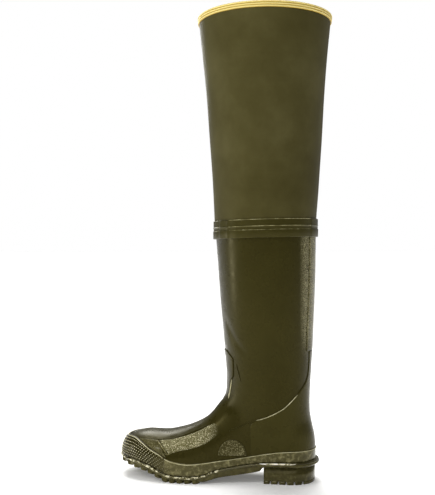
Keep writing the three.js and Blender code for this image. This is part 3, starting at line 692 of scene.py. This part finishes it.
band = {
    "height": 25 * mm,
    "thickness": 2.4 * mm,
    "levels": [  # share of the height, share of the thickness
        (-0.14, 0.1), (-0.14, 0.75), (-0.128, 0.93), (-0.105, 1.0), (0.33, 1.0),
        (0.345, 0.95), (0.355, 0.72), (0.38, 0.68), (0.52, 0.68), (0.54, 0.72),
        (0.555, 0.93), (0.575, 0.96), (0.595, 0.93), (0.61, 0.72), (0.63, 0.68),
        (0.93, 0.64), (0.96, 0.6), (0.985, 0.5), (1.0, 0.3), (1.0, 0.1),
    ],
    "laps": [(38, 52, 0.9 * mm), (153, 207, 0.8 * mm)],  # degrees round from the front, rise of a strip end
    "threads": [  # level, out, radius
        (0.985, 0.5, 0.5 * mm), (0.575, 0.85, 0.55 * mm), (0.345, 0.8, 0.45 * mm),
    ],
    "around": 180,
}


def makeBand():
    low = last["kneeHeight"]
    outer = [(low + h * band["height"], last["gap"] + d * band["thickness"]) for h, d in band["levels"]]
    profile = outer + [(outer[-1][0], 0.1 * mm), (outer[0][0], 0.1 * mm), outer[0]]
    points, angles = ringGrid(profile, band["around"])
    degrees = np.degrees(angles)
    lap = 0
    for start, end, rise in band["laps"]:
        lap = lap + ease(start - 1, start, degrees) * (1 - ease(end, end + 1, degrees)) * rise
    body = np.array([1.0 if 0 < i < len(outer) - 1 else 0.0 for i in range(len(profile))])[None, :]
    out = np.stack([-np.cos(angles), -np.sin(angles), 0 * angles], -1)
    points = points + out * (lap * body)[..., None]
    bm = bmesh.new()
    layGrid(bm, points)
    finishPiece(bm, "kneeBand", ["knee_band"], bandRubber)
    # pale threads round the band: painted highlights on its edges
    bm = bmesh.new()
    for level, out, radius in band["threads"]:
        turn = np.linspace(0, 2 * math.pi, 9)
        height = low + level * band["height"]
        reach = last["gap"] + out * band["thickness"]
        ring = [(height + radius * math.sin(a), reach + radius * math.cos(a)) for a in turn]
        layGrid(bm, ringGrid(ring, band["around"])[0])
    finishPiece(bm, "bandThreads", None, edgeGlintRubber)


binding = {
    "height": 10 * mm,
    "thickness": 1.6 * mm,
    "ribs": 3,
    "fine": 36,
    "around": 180,
    "inside": 7 * mm,  # how far the tape turns down inside
    "ply": 0.9 * mm,  # thickness of the tape there
    "seat": 0.15 * mm,
    "edgeDrop": 1.3 * mm,  # the leg's edge ends this far below the top
}


def makeBinding():
    top = thigh["top"]
    low = top - binding["height"]
    outer = []
    for k in range(binding["fine"] + 1):
        share = k / binding["fine"]
        rib = 0.5 - 0.5 * math.cos(2 * math.pi * (share * binding["ribs"]))
        end = min(1.0, share / 0.06, (1 - share) / 0.06)
        out = last["gap"] + binding["thickness"] * end * (0.55 + 0.45 * rib ** 0.6)
        outer.append((low + share * binding["height"], out))
    inner = -thigh["wall"] - last["gap"]
    profile = outer + [
        (top, inner - 0.4 * mm),
        (top - 0.6 * mm, inner - binding["ply"]),
        (top - binding["inside"], inner - binding["ply"]),
        (top - binding["inside"], inner),
        (top - binding["edgeDrop"], inner),
        (top - binding["edgeDrop"], binding["seat"]),
        (low, binding["seat"]),
        outer[0],
    ]
    points, angles = ringGrid(profile, binding["around"])
    bm = bmesh.new()
    layGrid(bm, points)
    tape = tapeMaterial(low, top, binding["ribs"])
    finishPiece(bm, "collarBinding", ["collar_binding"], tape)


# the pieces that lie on the upper
randTop = [  # upper edge of the toe bumper and the foxing: along, up as a share of the instep height
    (-0.02, 0.46), (0.02, 0.52), (0.08, 0.535), (0.127, 0.49), (0.178, 0.42), (0.226, 0.37),
    (0.258, 0.32), (0.29, 0.29), (0.36, 0.262), (0.45, 0.28), (0.52, 0.305), (0.59, 0.33),
    (0.68, 0.37), (0.761, 0.41), (0.863, 0.45), (1.06, 0.46),
]
randShare = column(randTop, 1)


def randZ(x):
    return last["instepHeight"] * randShare(alongOf(x))


rand = {
    "bumper": 2.8 * mm,
    "foxing": 1.8 * mm,
    "join": 0.335,  # share of the way round from the toe where the bumper ends
    "edge": 1.6 * mm,
    "endEdge": 0.15 * mm,
    "tall": 30 * mm,  # rough height and half length, for the shares that the edges take
    "halfLength": 310 * mm,
}


def roundPlate(name, node, material, turns, steps, thickness, endThickness):
    shares, rise = edged(14, rand["tall"], rand["edge"], 4)
    stations, ends = edged(steps, (turns[1] - turns[0]) * rand["halfLength"], rand["endEdge"])
    base = wrapPoints(mix(*turns, stations), seatZ, randZ, shares)
    thick = mix(endThickness, thickness, ease(0, 0.4, 1 - np.abs(2 * stations - 1)))
    bm = bmesh.new()
    plate(bm, base, -outward(base), last["gap"] * 0.5, (thick * ends)[:, None] * rise[None, :])
    finishPiece(bm, name, [node], material)


def makeRand():
    joint = rand["join"]
    roundPlate("toeBumper", "toe_bumper", bumperRubber, (-joint, joint), 150,
               rand["bumper"], rand["foxing"])
    roundPlate("foxingRand", "foxing", foxingRubber, (joint, 2 - joint), 260,
               rand["foxing"], rand["foxing"])


def edgeCurve(rows):  # side-view edge: x for a height, from rows of along and up
    curve = smoothLine([(up * last["instepHeight"], xAt(along)) for along, up in rows])
    return lambda z: np.interp(z, curve[:, 0], curve[:, 1])


def aroundPoints(levels, across, lowAt, highZ, edgeX, front):  # layer that wraps the back, or the front
    b = np.array(levels)[:, None] * np.ones(len(across))[None, :]
    a = np.ones(len(levels))[:, None] * np.array(across)[None, :]
    z = np.full(b.shape, 0.15)
    for k in range(14):
        share = np.clip((edgeX(z) - frontAt(z)) / (backAt(z) - frontAt(z)), 0, 1)
        edgeTurn = np.arccos(1 - 2 * share) / math.pi
        s = mix(-edgeTurn, edgeTurn, a) if front else mix(edgeTurn, 2 - edgeTurn, a)
        run = np.abs(((s + 1) % 2) - 1)
        x = mix(frontAt(z), backAt(z), (1 - np.cos(math.pi * run)) / 2)
        z = 0.4 * z + 0.6 * mix(lowAt(x), highZ, b)
    side = np.where((s % 2) <= 1, -1.0, 1.0)
    return surfacePoint(x, z, side)


counter = {
    "thickness": 1.2 * mm,
    "edge": 1.2 * mm,
    "tall": 150 * mm,  # rough sizes, for the shares that the edges take
    "wide": 140 * mm,
    "lap": 0.5 * mm,  # how far it starts below the foxing's top
    "top": 1.78,
    "seam": [  # along, up: the front edge from the foxing to the back stay
        (0.686, 0.3), (0.688, 0.6), (0.692, 0.81), (0.717, 0.86), (0.761, 0.9), (0.81, 0.966),
        (0.857, 1.03), (0.892, 1.13), (0.92, 1.21), (0.96, 1.37), (0.973, 1.6), (0.975, 1.78),
    ],
}


def makeCounter():
    top = counter["top"] * last["instepHeight"]
    levels, rise = edged(60, counter["tall"], counter["edge"])
    across, sides = edged(90, counter["wide"], counter["edge"])
    seam = edgeCurve(counter["seam"])
    base = aroundPoints(levels, across, lambda x: randZ(x) - counter["lap"], top, seam, False)
    fade = ease(-24 * mm, 6 * mm, base[..., 0]) + ease(80 * mm, 96 * mm, base[..., 2])
    depth = counter["thickness"] * rise[:, None] * sides[None, :] * np.clip(fade, 0.05, 1)
    bm = bmesh.new()
    plate(bm, base, outward(base), last["gap"] * 0.4, depth)
    finishPiece(bm, "heelCounter", ["heel_counter"], counterRubber)


stay = {"thickness": 1.5 * mm, "inset": 7.5 * mm, "edge": 1.3 * mm, "tall": 180 * mm, "wide": 65 * mm}


def makeStay():
    low = counter["top"] * last["instepHeight"] + last["gap"]
    top = last["kneeHeight"] - last["gap"]
    levels, rise = edged(60, stay["tall"], stay["edge"])
    across, sides = edged(30, stay["wide"], stay["edge"])
    base = aroundPoints(levels, across, flat(low), top, lambda z: backAt(z) - stay["inset"], False)
    bm = bmesh.new()
    plate(bm, base, outward(base), last["gap"] * 0.4, stay["thickness"] * rise[:, None] * sides[None, :])
    finishPiece(bm, "backStay", ["back_stay"], calfRubber)


tab = {
    "thickness": 1.4 * mm,
    "edge": 1.4 * mm,
    "tall": 80 * mm,
    "wide": 75 * mm,
    "low": 1.09,
    "top": 1.78,
    "side": [(0.57, 1.09), (0.586, 1.375), (0.596, 1.41), (0.6, 1.64), (0.598, 1.67), (0.557, 1.78)],
}


def makeTab():
    low = tab["low"] * last["instepHeight"]
    levels, rise = edged(40, tab["tall"], tab["edge"])
    across, sides = edged(40, tab["wide"], tab["edge"])
    top = tab["top"] * last["instepHeight"]
    base = aroundPoints(levels, across, flat(low), top, edgeCurve(tab["side"]), True)
    bm = bmesh.new()
    flow = mix(0.12, 1.0, ease(0.0, 0.45, levels))  # the lower end flows into the instep
    depth = tab["thickness"] * (rise * flow)[:, None] * sides[None, :]
    plate(bm, base, outward(base), last["gap"] * 0.4, depth)
    finishPiece(bm, "frontTab", ["front_tab"], calfRubber)


# the stippled panel beside the vamp and the short wing of the toe cap
panel = {
    "thickness": 0.9 * mm,
    "edge": 1.1 * mm,
    "size": (90 * mm, 20 * mm),
    "thinning": (0.6, 1.0),  # shares of the length between which it thins out
    "top": [
        (0.216, 0.53), (0.27, 0.545), (0.315, 0.575), (0.37, 0.62), (0.42, 0.675), (0.458, 0.73),
        (0.5, 0.79),
    ],
    "low": [
        (0.277, 0.372), (0.287, 0.385), (0.328, 0.42), (0.379, 0.453), (0.43, 0.495), (0.484, 0.57),
        (0.53, 0.68), (0.533, 0.75),
    ],
}
wing = {
    "size": (45 * mm, 16 * mm),
    "thinning": (1.0, 1.1),
    "top": [(0.107, 0.528), (0.15, 0.53), (0.2, 0.53), (0.211, 0.53)],
    "low": [(0.107, 0.515), (0.15, 0.465), (0.2, 0.398), (0.262, 0.325)],
}


def edgeLine(rows, stations):  # points at even shares of a side-view line
    curve = smoothLine([(xAt(along), up * last["instepHeight"]) for along, up in rows])
    reach = np.concatenate([[0], np.cumsum(np.hypot(*np.diff(curve, axis=0).T))])
    at = stations * reach[-1]
    return np.stack([np.interp(at, reach, curve[:, 0]), np.interp(at, reach, curve[:, 1])], -1)


def sidePlate(name, node, material, shape, side):
    stations, ends = edged(50, shape["size"][0], panel["edge"])
    shares, rise = edged(18, shape["size"][1], panel["edge"])
    lower = edgeLine(shape["low"], stations)[:, None, :]
    upperEdge = edgeLine(shape["top"], stations)[:, None, :]
    at = mix(lower, upperEdge, shares[None, :, None])
    base = surfacePoint(at[..., 0], at[..., 1], side)
    fade = 1 - 0.85 * ease(*shape["thinning"], stations)
    bm = bmesh.new()
    depth = panel["thickness"] * (ends * fade)[:, None] * rise[None, :]
    plate(bm, base, outward(base) * side, last["gap"] * 0.4, depth)
    finishPiece(bm, name, [node], material)


def makePanels():
    for word, side in (("outer", -1), ("inner", 1)):
        sidePlate("vampPanel_" + word, "vamp_panel_" + word, panelRubber, panel, side)
        sidePlate("toeWing_" + word, "toe_wing_" + word, wingRubber, wing, side)


patch = {
    "along": 0.596,
    "radius": 22 * mm,
    "tall": 1.15,
    "lift": 5 * mm,  # above the foxing's top
    "thickness": 1.1 * mm,
    "edge": 1.2 * mm,
}


def makePatch():
    middle = xAt(patch["along"])
    base = float(randZ(middle)) + patch["lift"]
    r = np.concatenate([np.linspace(0, 0.9, 14), [0.95, 0.97, 0.985, 1.0]])[:, None]
    corner = np.array([0, 0.006, 0.02, 0.05])
    arc = np.linspace(0.1, math.pi - 0.1, 40)
    angle = np.concatenate([corner, arc, (math.pi - corner)[::-1]])[None, :]
    x = middle + patch["radius"] * r * np.cos(angle)
    z = base + patch["radius"] * patch["tall"] * r * np.sin(angle)
    points = surfacePoint(x, z, -1)
    rim = np.minimum((1 - r) * patch["radius"] + 0 * angle, z - base)
    rise = np.sqrt(np.maximum(0, 1 - (1 - np.clip(rim / patch["edge"], 0, 1)) ** 2))
    normals = outward(points)
    normals = normals * np.sign(-normals[..., 1:2])
    bm = bmesh.new()
    plate(bm, points, normals, last["gap"] * 0.4, patch["thickness"] * rise)
    finishPiece(bm, "anklePatch", ["ankle_patch"], patchRubber)


# the sole
sole = {
    "margin": (1.8 + 0.3 + 1.2) * mm,  # sole edge beyond the last
    "rimReach": 2.2 * mm,
    "rimHeight": 3.5 * mm,
    "spurReach": 4.5 * mm,  # the ledge round the heel
    "spurHeight": 5.8 * mm,
    "beadRoot": 3 * mm,  # how far the rim and the ledge reach into the sole
    "thread": {"width": 2.0 * mm, "height": 0.9 * mm, "lift": 0.0, "taper": 12 * mm},
    "paintedGlint": {"width": 3.2 * mm, "height": 1.3 * mm, "lift": 0.4 * mm, "taper": 16 * mm},
    "glint": (-14 * mm, 50 * mm),  # where the ledge carries a painted glint, a pale glossy bead
    "heelTop": 27 * mm,
    "heelInset": 2.5 * mm,
    "heelCuts": 5,
    "heelCut": 4 * mm,
    "breast": -2 * mm,
    "tread": (0.045, 0.45),  # along: first lug, end of the lugs
    "lugDepth": 5 * mm,
    "lugPitch": 12.2 * mm,
    "lugWidth": 8.4 * mm,
    "lugReach": 1.2 * mm,  # beyond the sole's edge
    "lugSection": [  # across as a share of the half width, up as a share of the depth
        (-1, 0.3), (-0.9, 0.0), (-0.78, 0.0), (0.78, 0.0), (0.9, 0.0), (1, 0.3), (1.1, 1.15),
        (-1.1, 1.15), (-1, 0.3),
    ],
    "wave": 4.5 * mm,
    "waves": 7,
    "stations": 120,
}


def grooveShare(x):  # grooves run out towards the shank and are shallower under the toe
    return ease(0.5, 0.4, alongOf(x)) * mix(0.4, 1.0, ease(0.06, 0.24, alongOf(x)))


def grooveZ(x):  # bottom of the grooves between the lugs
    return groundZ(x) + sole["lugDepth"] * grooveShare(x)


def ledgeZ(x):  # top of the ledge round the heel
    return np.maximum(bedZ(x) - 1 * mm, sole["heelTop"] + last["gap"] + sole["spurHeight"])


def outlinePair(margin, xs):  # outer and inner edge of the foot's outline, moved outward
    half = footHalf(xs) * closing(last["heelBack"] - xs, heelRound)
    centre = footCentre(xs)
    sides = []
    for sign in (-1, 1):
        line = np.stack([xs, centre + sign * half], 1)
        facing = np.stack([xs, centre - sign * half], 1)
        full = np.concatenate([facing[1:2], line, facing[-2:-1]])
        run = full[2:] - full[:-2]
        run = run / np.maximum(np.linalg.norm(run, axis=1, keepdims=True), 1e-9)
        sides.append(line + np.stack([-run[:, 1], run[:, 0]], 1) * sign * margin)
    return sides


def soleSolid(bm, xs, profile):  # profile: margins and height functions, from the middle below to above
    rows = []
    for margin, height in profile:
        outer, inner = outlinePair(margin or 0, xs)
        if margin is None:
            outer = inner = (outer + inner) / 2
        rows.append((outer, inner, height))
    ring = [(p[0], p[2]) for p in rows] + [(p[1], p[2]) for p in reversed(rows[1:-1])]
    ring.append(ring[0])
    grid = np.stack([np.concatenate([line, height(line[:, 0])[:, None]], 1) for line, height in ring], 1)
    layGrid(bm, grid)


def beadSolid(bm, xs, reach, top, height, steps=8):  # half-round edge that stands out of the wall
    def level(share):
        return lambda x: top(x) - height / 2 + share * height / 2

    turns = [math.pi * k / steps - math.pi / 2 for k in range(steps + 1)]
    rows = [(sole["margin"] + reach * max(0.0, math.cos(a)), level(math.sin(a))) for a in turns]
    root = sole["margin"] - sole["beadRoot"]
    soleSolid(bm, xs, [(root, rows[0][1])] + rows + [(root, rows[-1][1])])


def slab(margin, low, high, bevel):  # profile of a level block whose lower edge is bevelled
    rows = [(None, low), (margin - bevel, low), (margin, low + 0.8 * mm), (margin, high), (None, high)]
    return [(reach, flat(level)) for reach, level in rows]


def roundStations(low, high, count, lowRound=True, highRound=True):
    t = np.linspace(0, 1, count)
    if lowRound and highRound:
        t = (1 - np.cos(math.pi * t)) / 2
    elif lowRound:
        t = 1 - np.cos(math.pi / 2 * t)
    elif highRound:
        t = np.sin(math.pi / 2 * t)
    return mix(low, high, t)


def makeOutsole():
    m = sole["margin"]

    def under(x):
        heelSide = x > sole["breast"] - last["gap"]
        return np.where(heelSide, sole["heelTop"] + last["gap"], grooveZ(x))

    xs = roundStations(toeTip, last["heelBack"], sole["stations"])
    bm = bmesh.new()
    soleSolid(bm, xs, [
        (None, under), (m - 3 * mm, under), (m - 0.6 * mm, under), (m, lambda x: under(x) + 0.6 * mm),
        (m, lambda x: bedZ(x) - sole["rimHeight"] - 0.2 * mm), (m, lambda x: bedZ(x) - 0.1 * mm),
        (None, bedZ),
    ])
    finishPiece(bm, "outsoleBody", ["outsole"], soleRubber)
    front = roundStations(toeTip, sole["breast"] - 6 * mm, 90, True, False)
    bm = bmesh.new()
    beadSolid(bm, front, sole["rimReach"], bedZ, sole["rimHeight"])
    finishPiece(bm, "soleRim", None, rimGlintRubber)
    back = roundStations(sole["breast"] - 10 * mm, last["heelBack"], 60, False, True)
    bm = bmesh.new()
    beadSolid(bm, back, sole["spurReach"], ledgeZ, sole["spurHeight"])
    finishPiece(bm, "heelSpur", None, soleRubber)
    xs = roundStations(sole["breast"] - 14 * mm, last["heelBack"], 80, False, True)
    upward = np.tile([0.0, 0.0, 1.0], (len(xs), 1))
    # stations that carry the pale bead, a painted glint over part of the ledge thread
    paintedGlint = (xs > sole["glint"][0]) & (xs < sole["glint"][1])
    bm = bmesh.new()
    glint = bmesh.new()
    for line in outlinePair(m + sole["spurReach"] * 0.62, xs):
        centre = np.concatenate([line, (ledgeZ(xs) - 0.5 * mm)[:, None]], 1)
        sweepBead(bm, centre, upward, **sole["thread"])
        sweepBead(glint, centre[paintedGlint], upward[paintedGlint], **sole["paintedGlint"])
    finishPiece(bm, "ledgeThread", None, rimGlintRubber)
    finishPiece(glint, "ledgeGlint", None, glintRubber)


def makeLugs():
    t = np.linspace(-1, 1, 16 * sole["waves"] + 1)
    swing = np.abs(((t * sole["waves"] / 2 + 100) % 1) * 2 - 1) * 2 - 1
    bm = bmesh.new()
    x = xAt(sole["tread"][0]) - sole["lugPitch"] / 2
    while x < xAt(sole["tread"][1]):
        half = float(footHalf(np.array(max(x, toeTip + 3 * mm)))) + sole["margin"] + sole["lugReach"]
        size = np.sqrt(np.clip((1 - np.abs(t)) * half / (2 * mm), 0, 1))
        cols = []
        for across, up in sole["lugSection"]:
            lugX = x + swing * sole["wave"] / 2 + across * sole["lugWidth"] / 2 * size
            lugX = np.maximum(lugX, toeTip + 1.5 * mm)
            z = groundZ(lugX) + up * sole["lugDepth"] * (0.3 + 0.7 * size)
            cols.append(np.stack([lugX, footCentre(x) + t * half, z], 1))
        layGrid(bm, np.stack(cols, 1))
        x += sole["lugPitch"]
    finishPiece(bm, "treadLugs", None, soleRubber)


shank = {
    "bars": [0.474, 0.494],  # along
    "inset": 5 * mm,  # bars end this far inside the sole edge
    "frame": (-60 * mm, -16 * mm),  # start and end of the bare frame
    "frameHalf": 16 * mm,
    "width": 3.0 * mm,
    "rise": 1.3 * mm,
}


def makeShank():  # straight double bar behind the ball and the bare frame of the shank
    bm = bmesh.new()
    t = np.linspace(-1, 1, 40)
    paths = []
    for along in shank["bars"]:
        x = np.full(t.shape, xAt(along))
        half = footHalf(x) + sole["margin"] - shank["inset"]
        paths.append((x, footCentre(x) + t * half))
    turn = np.linspace(0, 2 * math.pi, 121)
    start, end = shank["frame"]
    x = (start + end) / 2 + (end - start) / 2 * np.sign(np.cos(turn)) * np.abs(np.cos(turn)) ** 0.25
    y = footCentre(x) + shank["frameHalf"] * np.sign(np.sin(turn)) * np.abs(np.sin(turn)) ** 0.25
    paths.append((x, y))
    for x, y in paths:
        down = np.tile([0.0, 0.0, -1.0], (len(x), 1))
        sweepBead(bm, np.stack([x, y, grooveZ(x)], 1), down, shank["width"], shank["rise"], 0.0, 1 * mm)
    finishPiece(bm, "shankFrame", None, soleRubber)


def makeHeel():
    m = sole["margin"] - sole["heelInset"]
    breast = sole["breast"]
    base = sole["lugDepth"] * 0.9
    bm = bmesh.new()
    xs = roundStations(breast, last["heelBack"], 70, False, True)
    soleSolid(bm, xs, slab(m, base, sole["heelTop"], 1.0 * mm))
    finishPiece(bm, "heelBlock", ["heel"], soleRubber)
    pitch = (last["heelBack"] - breast - 14 * mm) / sole["heelCuts"]
    cuts = [breast + pitch * (i + 0.75) for i in range(sole["heelCuts"])]
    starts = [breast] + [cut + sole["heelCut"] / 2 for cut in cuts]
    ends = [cut - sole["heelCut"] / 2 for cut in cuts] + [last["heelBack"]]
    bm = bmesh.new()
    for start, end in zip(starts, ends):
        atBack = end == last["heelBack"]
        xs = roundStations(start, end, 24 if atBack else 8, False, atBack)
        soleSolid(bm, xs, slab(m, 0.0, base + 1 * mm, 0.8 * mm))
    finishPiece(bm, "heelLugs", None, soleRubber)


insole = {"thickness": 4 * mm, "gap": 1.2 * mm}


def makeInsole():
    edge = last["wall"] + 1 * mm
    inset = -last["wall"] - insole["gap"]
    xs = roundStations(toeTip + edge, last["heelBack"] - edge, 90)
    high = lambda x: seatZ(x) + insole["thickness"]
    bm = bmesh.new()
    soleSolid(bm, xs, [
        (None, seatZ), (inset - 0.5 * mm, seatZ), (inset, seatZ), (inset, high), (inset - 0.8 * mm, high),
        (None, high),
    ])
    finishPiece(bm, "insoleFelt", ["insole"], feltInsole)


# moulded seam threads, side-view points in mm on both sides of the boot; the pale ones carry painted
# highlights
seams = [
    {"name": "counterSeam", "look": seamGlintRubber, "width": 1.1 * mm, "height": 0.7 * mm, "lift": 1.0 * mm,
     "lines": [
        [(50, 141.5), (41, 132), (30, 121.5), (16, 113), (0, 105.5), (-14, 101)],
    ]},
    {"name": "instepSeam", "look": calfRubber, "width": 2.0 * mm, "height": 1.0 * mm, "lift": 0.1 * mm,
     "lines": [
        [(-12, 101), (-24, 97), (-40, 90), (-58, 82)],
        [(-46, 189), (-44, 180), (-41, 170), (-38.5, 160)],
        [(67, 206), (66.4, 181), (62, 160), (50, 141.5)],
        [(66.8, 176), (63.5, 160), (57, 146), (49, 136), (38, 126)],
    ]},
    {"name": "tabSeam", "look": seamGlintRubber, "width": 1.7 * mm, "height": 0.9 * mm, "lift": 0.6 * mm,
     "lines": [
        [(-54.2, 162), (-55.6, 152), (-57.6, 141), (-60.2, 130)],
        [(-57.5, 200), (-54.5, 197), (-51.8, 192.5)],
    ]},
    {"name": "vampSeam", "look": calfRubber, "width": 1.8 * mm, "height": 1.0 * mm, "lift": 0.1 * mm,
     "lines": [
        [(-208, 60), (-192, 62), (-176, 62.6), (-153, 65), (-140, 68.5), (-123, 74.5), (-107, 81.5),
         (-93, 88)],
    ]},
    {"name": "capSeam", "look": edgeGlintRubber, "width": 1.8 * mm, "height": 1.0 * mm, "lift": 0.9 * mm,
     "lines": [
        [(-174, 61), (-168, 56.5), (-161, 50), (-155, 43.5)],
        [(-160, 44.5), (-155, 43), (-149, 45)],
    ]},
]


def makeSeams():
    for seam in seams:
        bm = bmesh.new()
        for rows in seam["lines"]:
            for side in (-1, 1):
                sideBead(bm, rows, side, seam["width"], seam["height"], seam["lift"])
        finishPiece(bm, seam["name"], None, seam["look"])


# raised pyramids of the toe bumper
grip = {
    "rows": 7,
    "columns": 58,
    "radius": 1.75 * mm,
    "height": 1.7 * mm,
    "fadeFrom": 0.26,  # shares of the way round where they start to shrink and where they end
    "end": 0.35,
    "body": (1.0, 0.3, 1.0, 0.35),  # shares: radius below and above, height, place of the middle
    "tip": (0.48, 0.2, 0.24, 0.85),  # the pale end: a painted glint on each pyramid's tip
}


def makeGrip():
    meshes = [bmesh.new(), bmesh.new()]
    for row in range(grip["rows"]):
        share = 0.16 + 0.68 * row / (grip["rows"] - 1)
        shift = 0.5 * (row % 2) / grip["columns"]
        turns = mix(-grip["end"], grip["end"], np.linspace(0, 1, grip["columns"]) + shift)
        base = wrapPoints(turns, seatZ, randZ, [share - 0.05, share, share + 0.05])
        normals = -outward(base)[:, 1]
        for k, turn in enumerate(turns):
            size = 1 - 0.65 * float(ease(grip["fadeFrom"], grip["end"], abs(turn)))
            wide = grip["radius"] * size
            tall = grip["height"] * size
            normal = Vector(normals[k])
            facing = normal.to_track_quat("Z", "Y").to_matrix().to_4x4()
            thick = mix(rand["foxing"], rand["bumper"], float(ease(0, 0.4, 1 - abs(turn) / rand["join"])))
            for bm, (low, high, depth, out) in zip(meshes, (grip["body"], grip["tip"])):
                place = Vector(base[k, 1]) + normal * (thick + tall * out)
                bmesh.ops.create_cone(bm, cap_ends=True, segments=6, radius1=wide * low, radius2=wide * high,
                                      depth=tall * depth, matrix=Matrix.Translation(place) @ facing)
    finishPiece(meshes[0], "toeGrip", None, gripRubber)
    finishPiece(meshes[1], "gripTips", None, tipGlintRubber)


# thread that runs just under the upper edge of the rand, pale: a painted highlight
randLine = {"width": 1.0 * mm, "height": 0.7 * mm, "drop": 0.93}


def makeRandLine():
    drop = randLine["drop"]
    joint = rand["join"]
    bm = bmesh.new()
    for turns, lift in (((-joint, joint), rand["bumper"]), ((joint, 2 - joint), rand["foxing"])):
        base = wrapPoints(np.linspace(*turns, 260), seatZ, randZ, [drop - 0.04, drop, drop + 0.04])
        sweepBead(bm, base[:, 1], -outward(base)[:, 1], randLine["width"], randLine["height"],
                  lift + last["gap"])
    finishPiece(bm, "randLine", None, seamGlintRubber)


makeUpper()
makeThigh()
makeBand()
makeBinding()
makeRand()
makeCounter()
makeStay()
makeTab()
makePanels()
makePatch()
makeOutsole()
makeLugs()
makeShank()
makeHeel()
makeInsole()
makeSeams()
makeGrip()
makeRandLine()

print("pieces made")

# camera: level, at the height of the knee, a little round towards the toe
view = {"turn": 9.0, "distance": 1.295, "shiftToToe": 0.081, "height": 0.3713, "focal": 802 / 495 * 36}
turn = math.radians(view["turn"])
right = Vector((math.cos(turn), math.sin(turn), 0))
ahead = Vector((-math.sin(turn), math.cos(turn), 0))
camera = bpy.data.objects.new("camera", bpy.data.cameras.new("camera"))
bpy.context.scene.collection.objects.link(camera)
camera.location = -right * view["shiftToToe"] - ahead * view["distance"] + Vector((0, 0, view["height"]))
camera.rotation_euler = (math.pi / 2, 0, turn)
camera.data.lens = view["focal"]
camera.data.sensor_width = 36
bpy.context.scene.camera = camera

# light: a white backdrop behind the boot, a soft top light before it, strips for the long highlights
light = {
    "suns": [  # name, strength, softness in degrees, turn about X and Y
        ("frontSky", 0.79, 60, (46, -9)),
        ("topSky", 2.4, 30, (-12, -6)),
    ],
    "boxes": [  # name, place, aim, width, height, power
        ("frontStrip", (-1.75, -0.35, 0.2), (0, 0, 0.2), 0.16, 0.8, 6.5),
        ("thighStrip", (-1.2, -1.9, 0.9), (0, 0, 0.6), 0.2, 0.9, 0.8),
        ("backBox", (-0.35, 1.1, 1.15), (-0.1, 0, 0.08), 1.2, 0.8, 20),
        ("toeBox", (-0.9, -0.9, 1.0), (-0.15, 0, 0.05), 0.1, 0.1, 3),
        ("glintBox", (-0.1, -1.3, 1.7), (-0.05, 0, 0.1), 0.12, 0.12, 3.5),
    ],
    "backdrop": 0.3,
    "ambient": 0.06,
}
for name, energy, spread, lean in light["suns"]:
    sun = bpy.data.lights.new(name, "SUN")
    sun.energy = energy
    sun.angle = math.radians(spread)
    sunObject = bpy.data.objects.new(name, sun)
    sunObject.rotation_euler = (math.radians(lean[0]), math.radians(lean[1]), 0)
    bpy.context.scene.collection.objects.link(sunObject)
for name, place, aim, width, height, power in light["boxes"]:
    lamp = bpy.data.lights.new(name, "AREA")
    lamp.shape = "RECTANGLE"
    lamp.size = width
    lamp.size_y = height
    lamp.energy = power
    box = bpy.data.objects.new(name, lamp)
    box.location = place
    box.rotation_euler = (Vector(aim) - Vector(place)).to_track_quat("-Z", "Y").to_euler()
    bpy.context.scene.collection.objects.link(box)

world = bpy.data.worlds.new("studio")
bpy.context.scene.world = world
world.use_nodes = True
sky = world.node_tree
sky.nodes["Background"].inputs["Color"].default_value = (1, 1, 1, 1)
skyPlace = addNode(sky, "TexCoord")
skyAxes = addNode(sky, "SeparateXYZ", None, {"Vector": skyPlace.outputs["Generated"]})
behind = addNode(sky, "MapRange", {"From Min": -0.3, "From Max": 0.7, "To Min": light["ambient"],
                                   "To Max": light["backdrop"]}, {"Value": skyAxes.outputs["Y"]})
seen = addNode(sky, "LightPath")
strength = addNode(sky, "Mix", {3: 1.0}, {2: behind.outputs["Result"], 0: seen.outputs["Is Camera Ray"]})
sky.links.new(strength.outputs[0], sky.nodes["Background"].inputs["Strength"])
bpy.context.scene.view_settings.view_transform = "Standard"

floorMesh = bpy.data.meshes.new("floor")
bm = bmesh.new()
bmesh.ops.create_grid(bm, x_segments=1, y_segments=1, size=60.0)
bm.to_mesh(floorMesh)
bm.free()
floor = bpy.data.objects.new("floor", floorMesh)
bpy.context.scene.collection.objects.link(floor)
paleFloor, floorTree, floorShader, floorAt = startMaterial("paleFloor", 0.8, 1.45, 0.2)
floorShader.inputs["Base Color"].default_value = linear("#f7f7f6")
floorShader.inputs["Emission Color"].default_value = (1, 1, 1, 1)
floorShader.inputs["Emission Strength"].default_value = 0.14
floorMesh.materials.append(paleFloor)
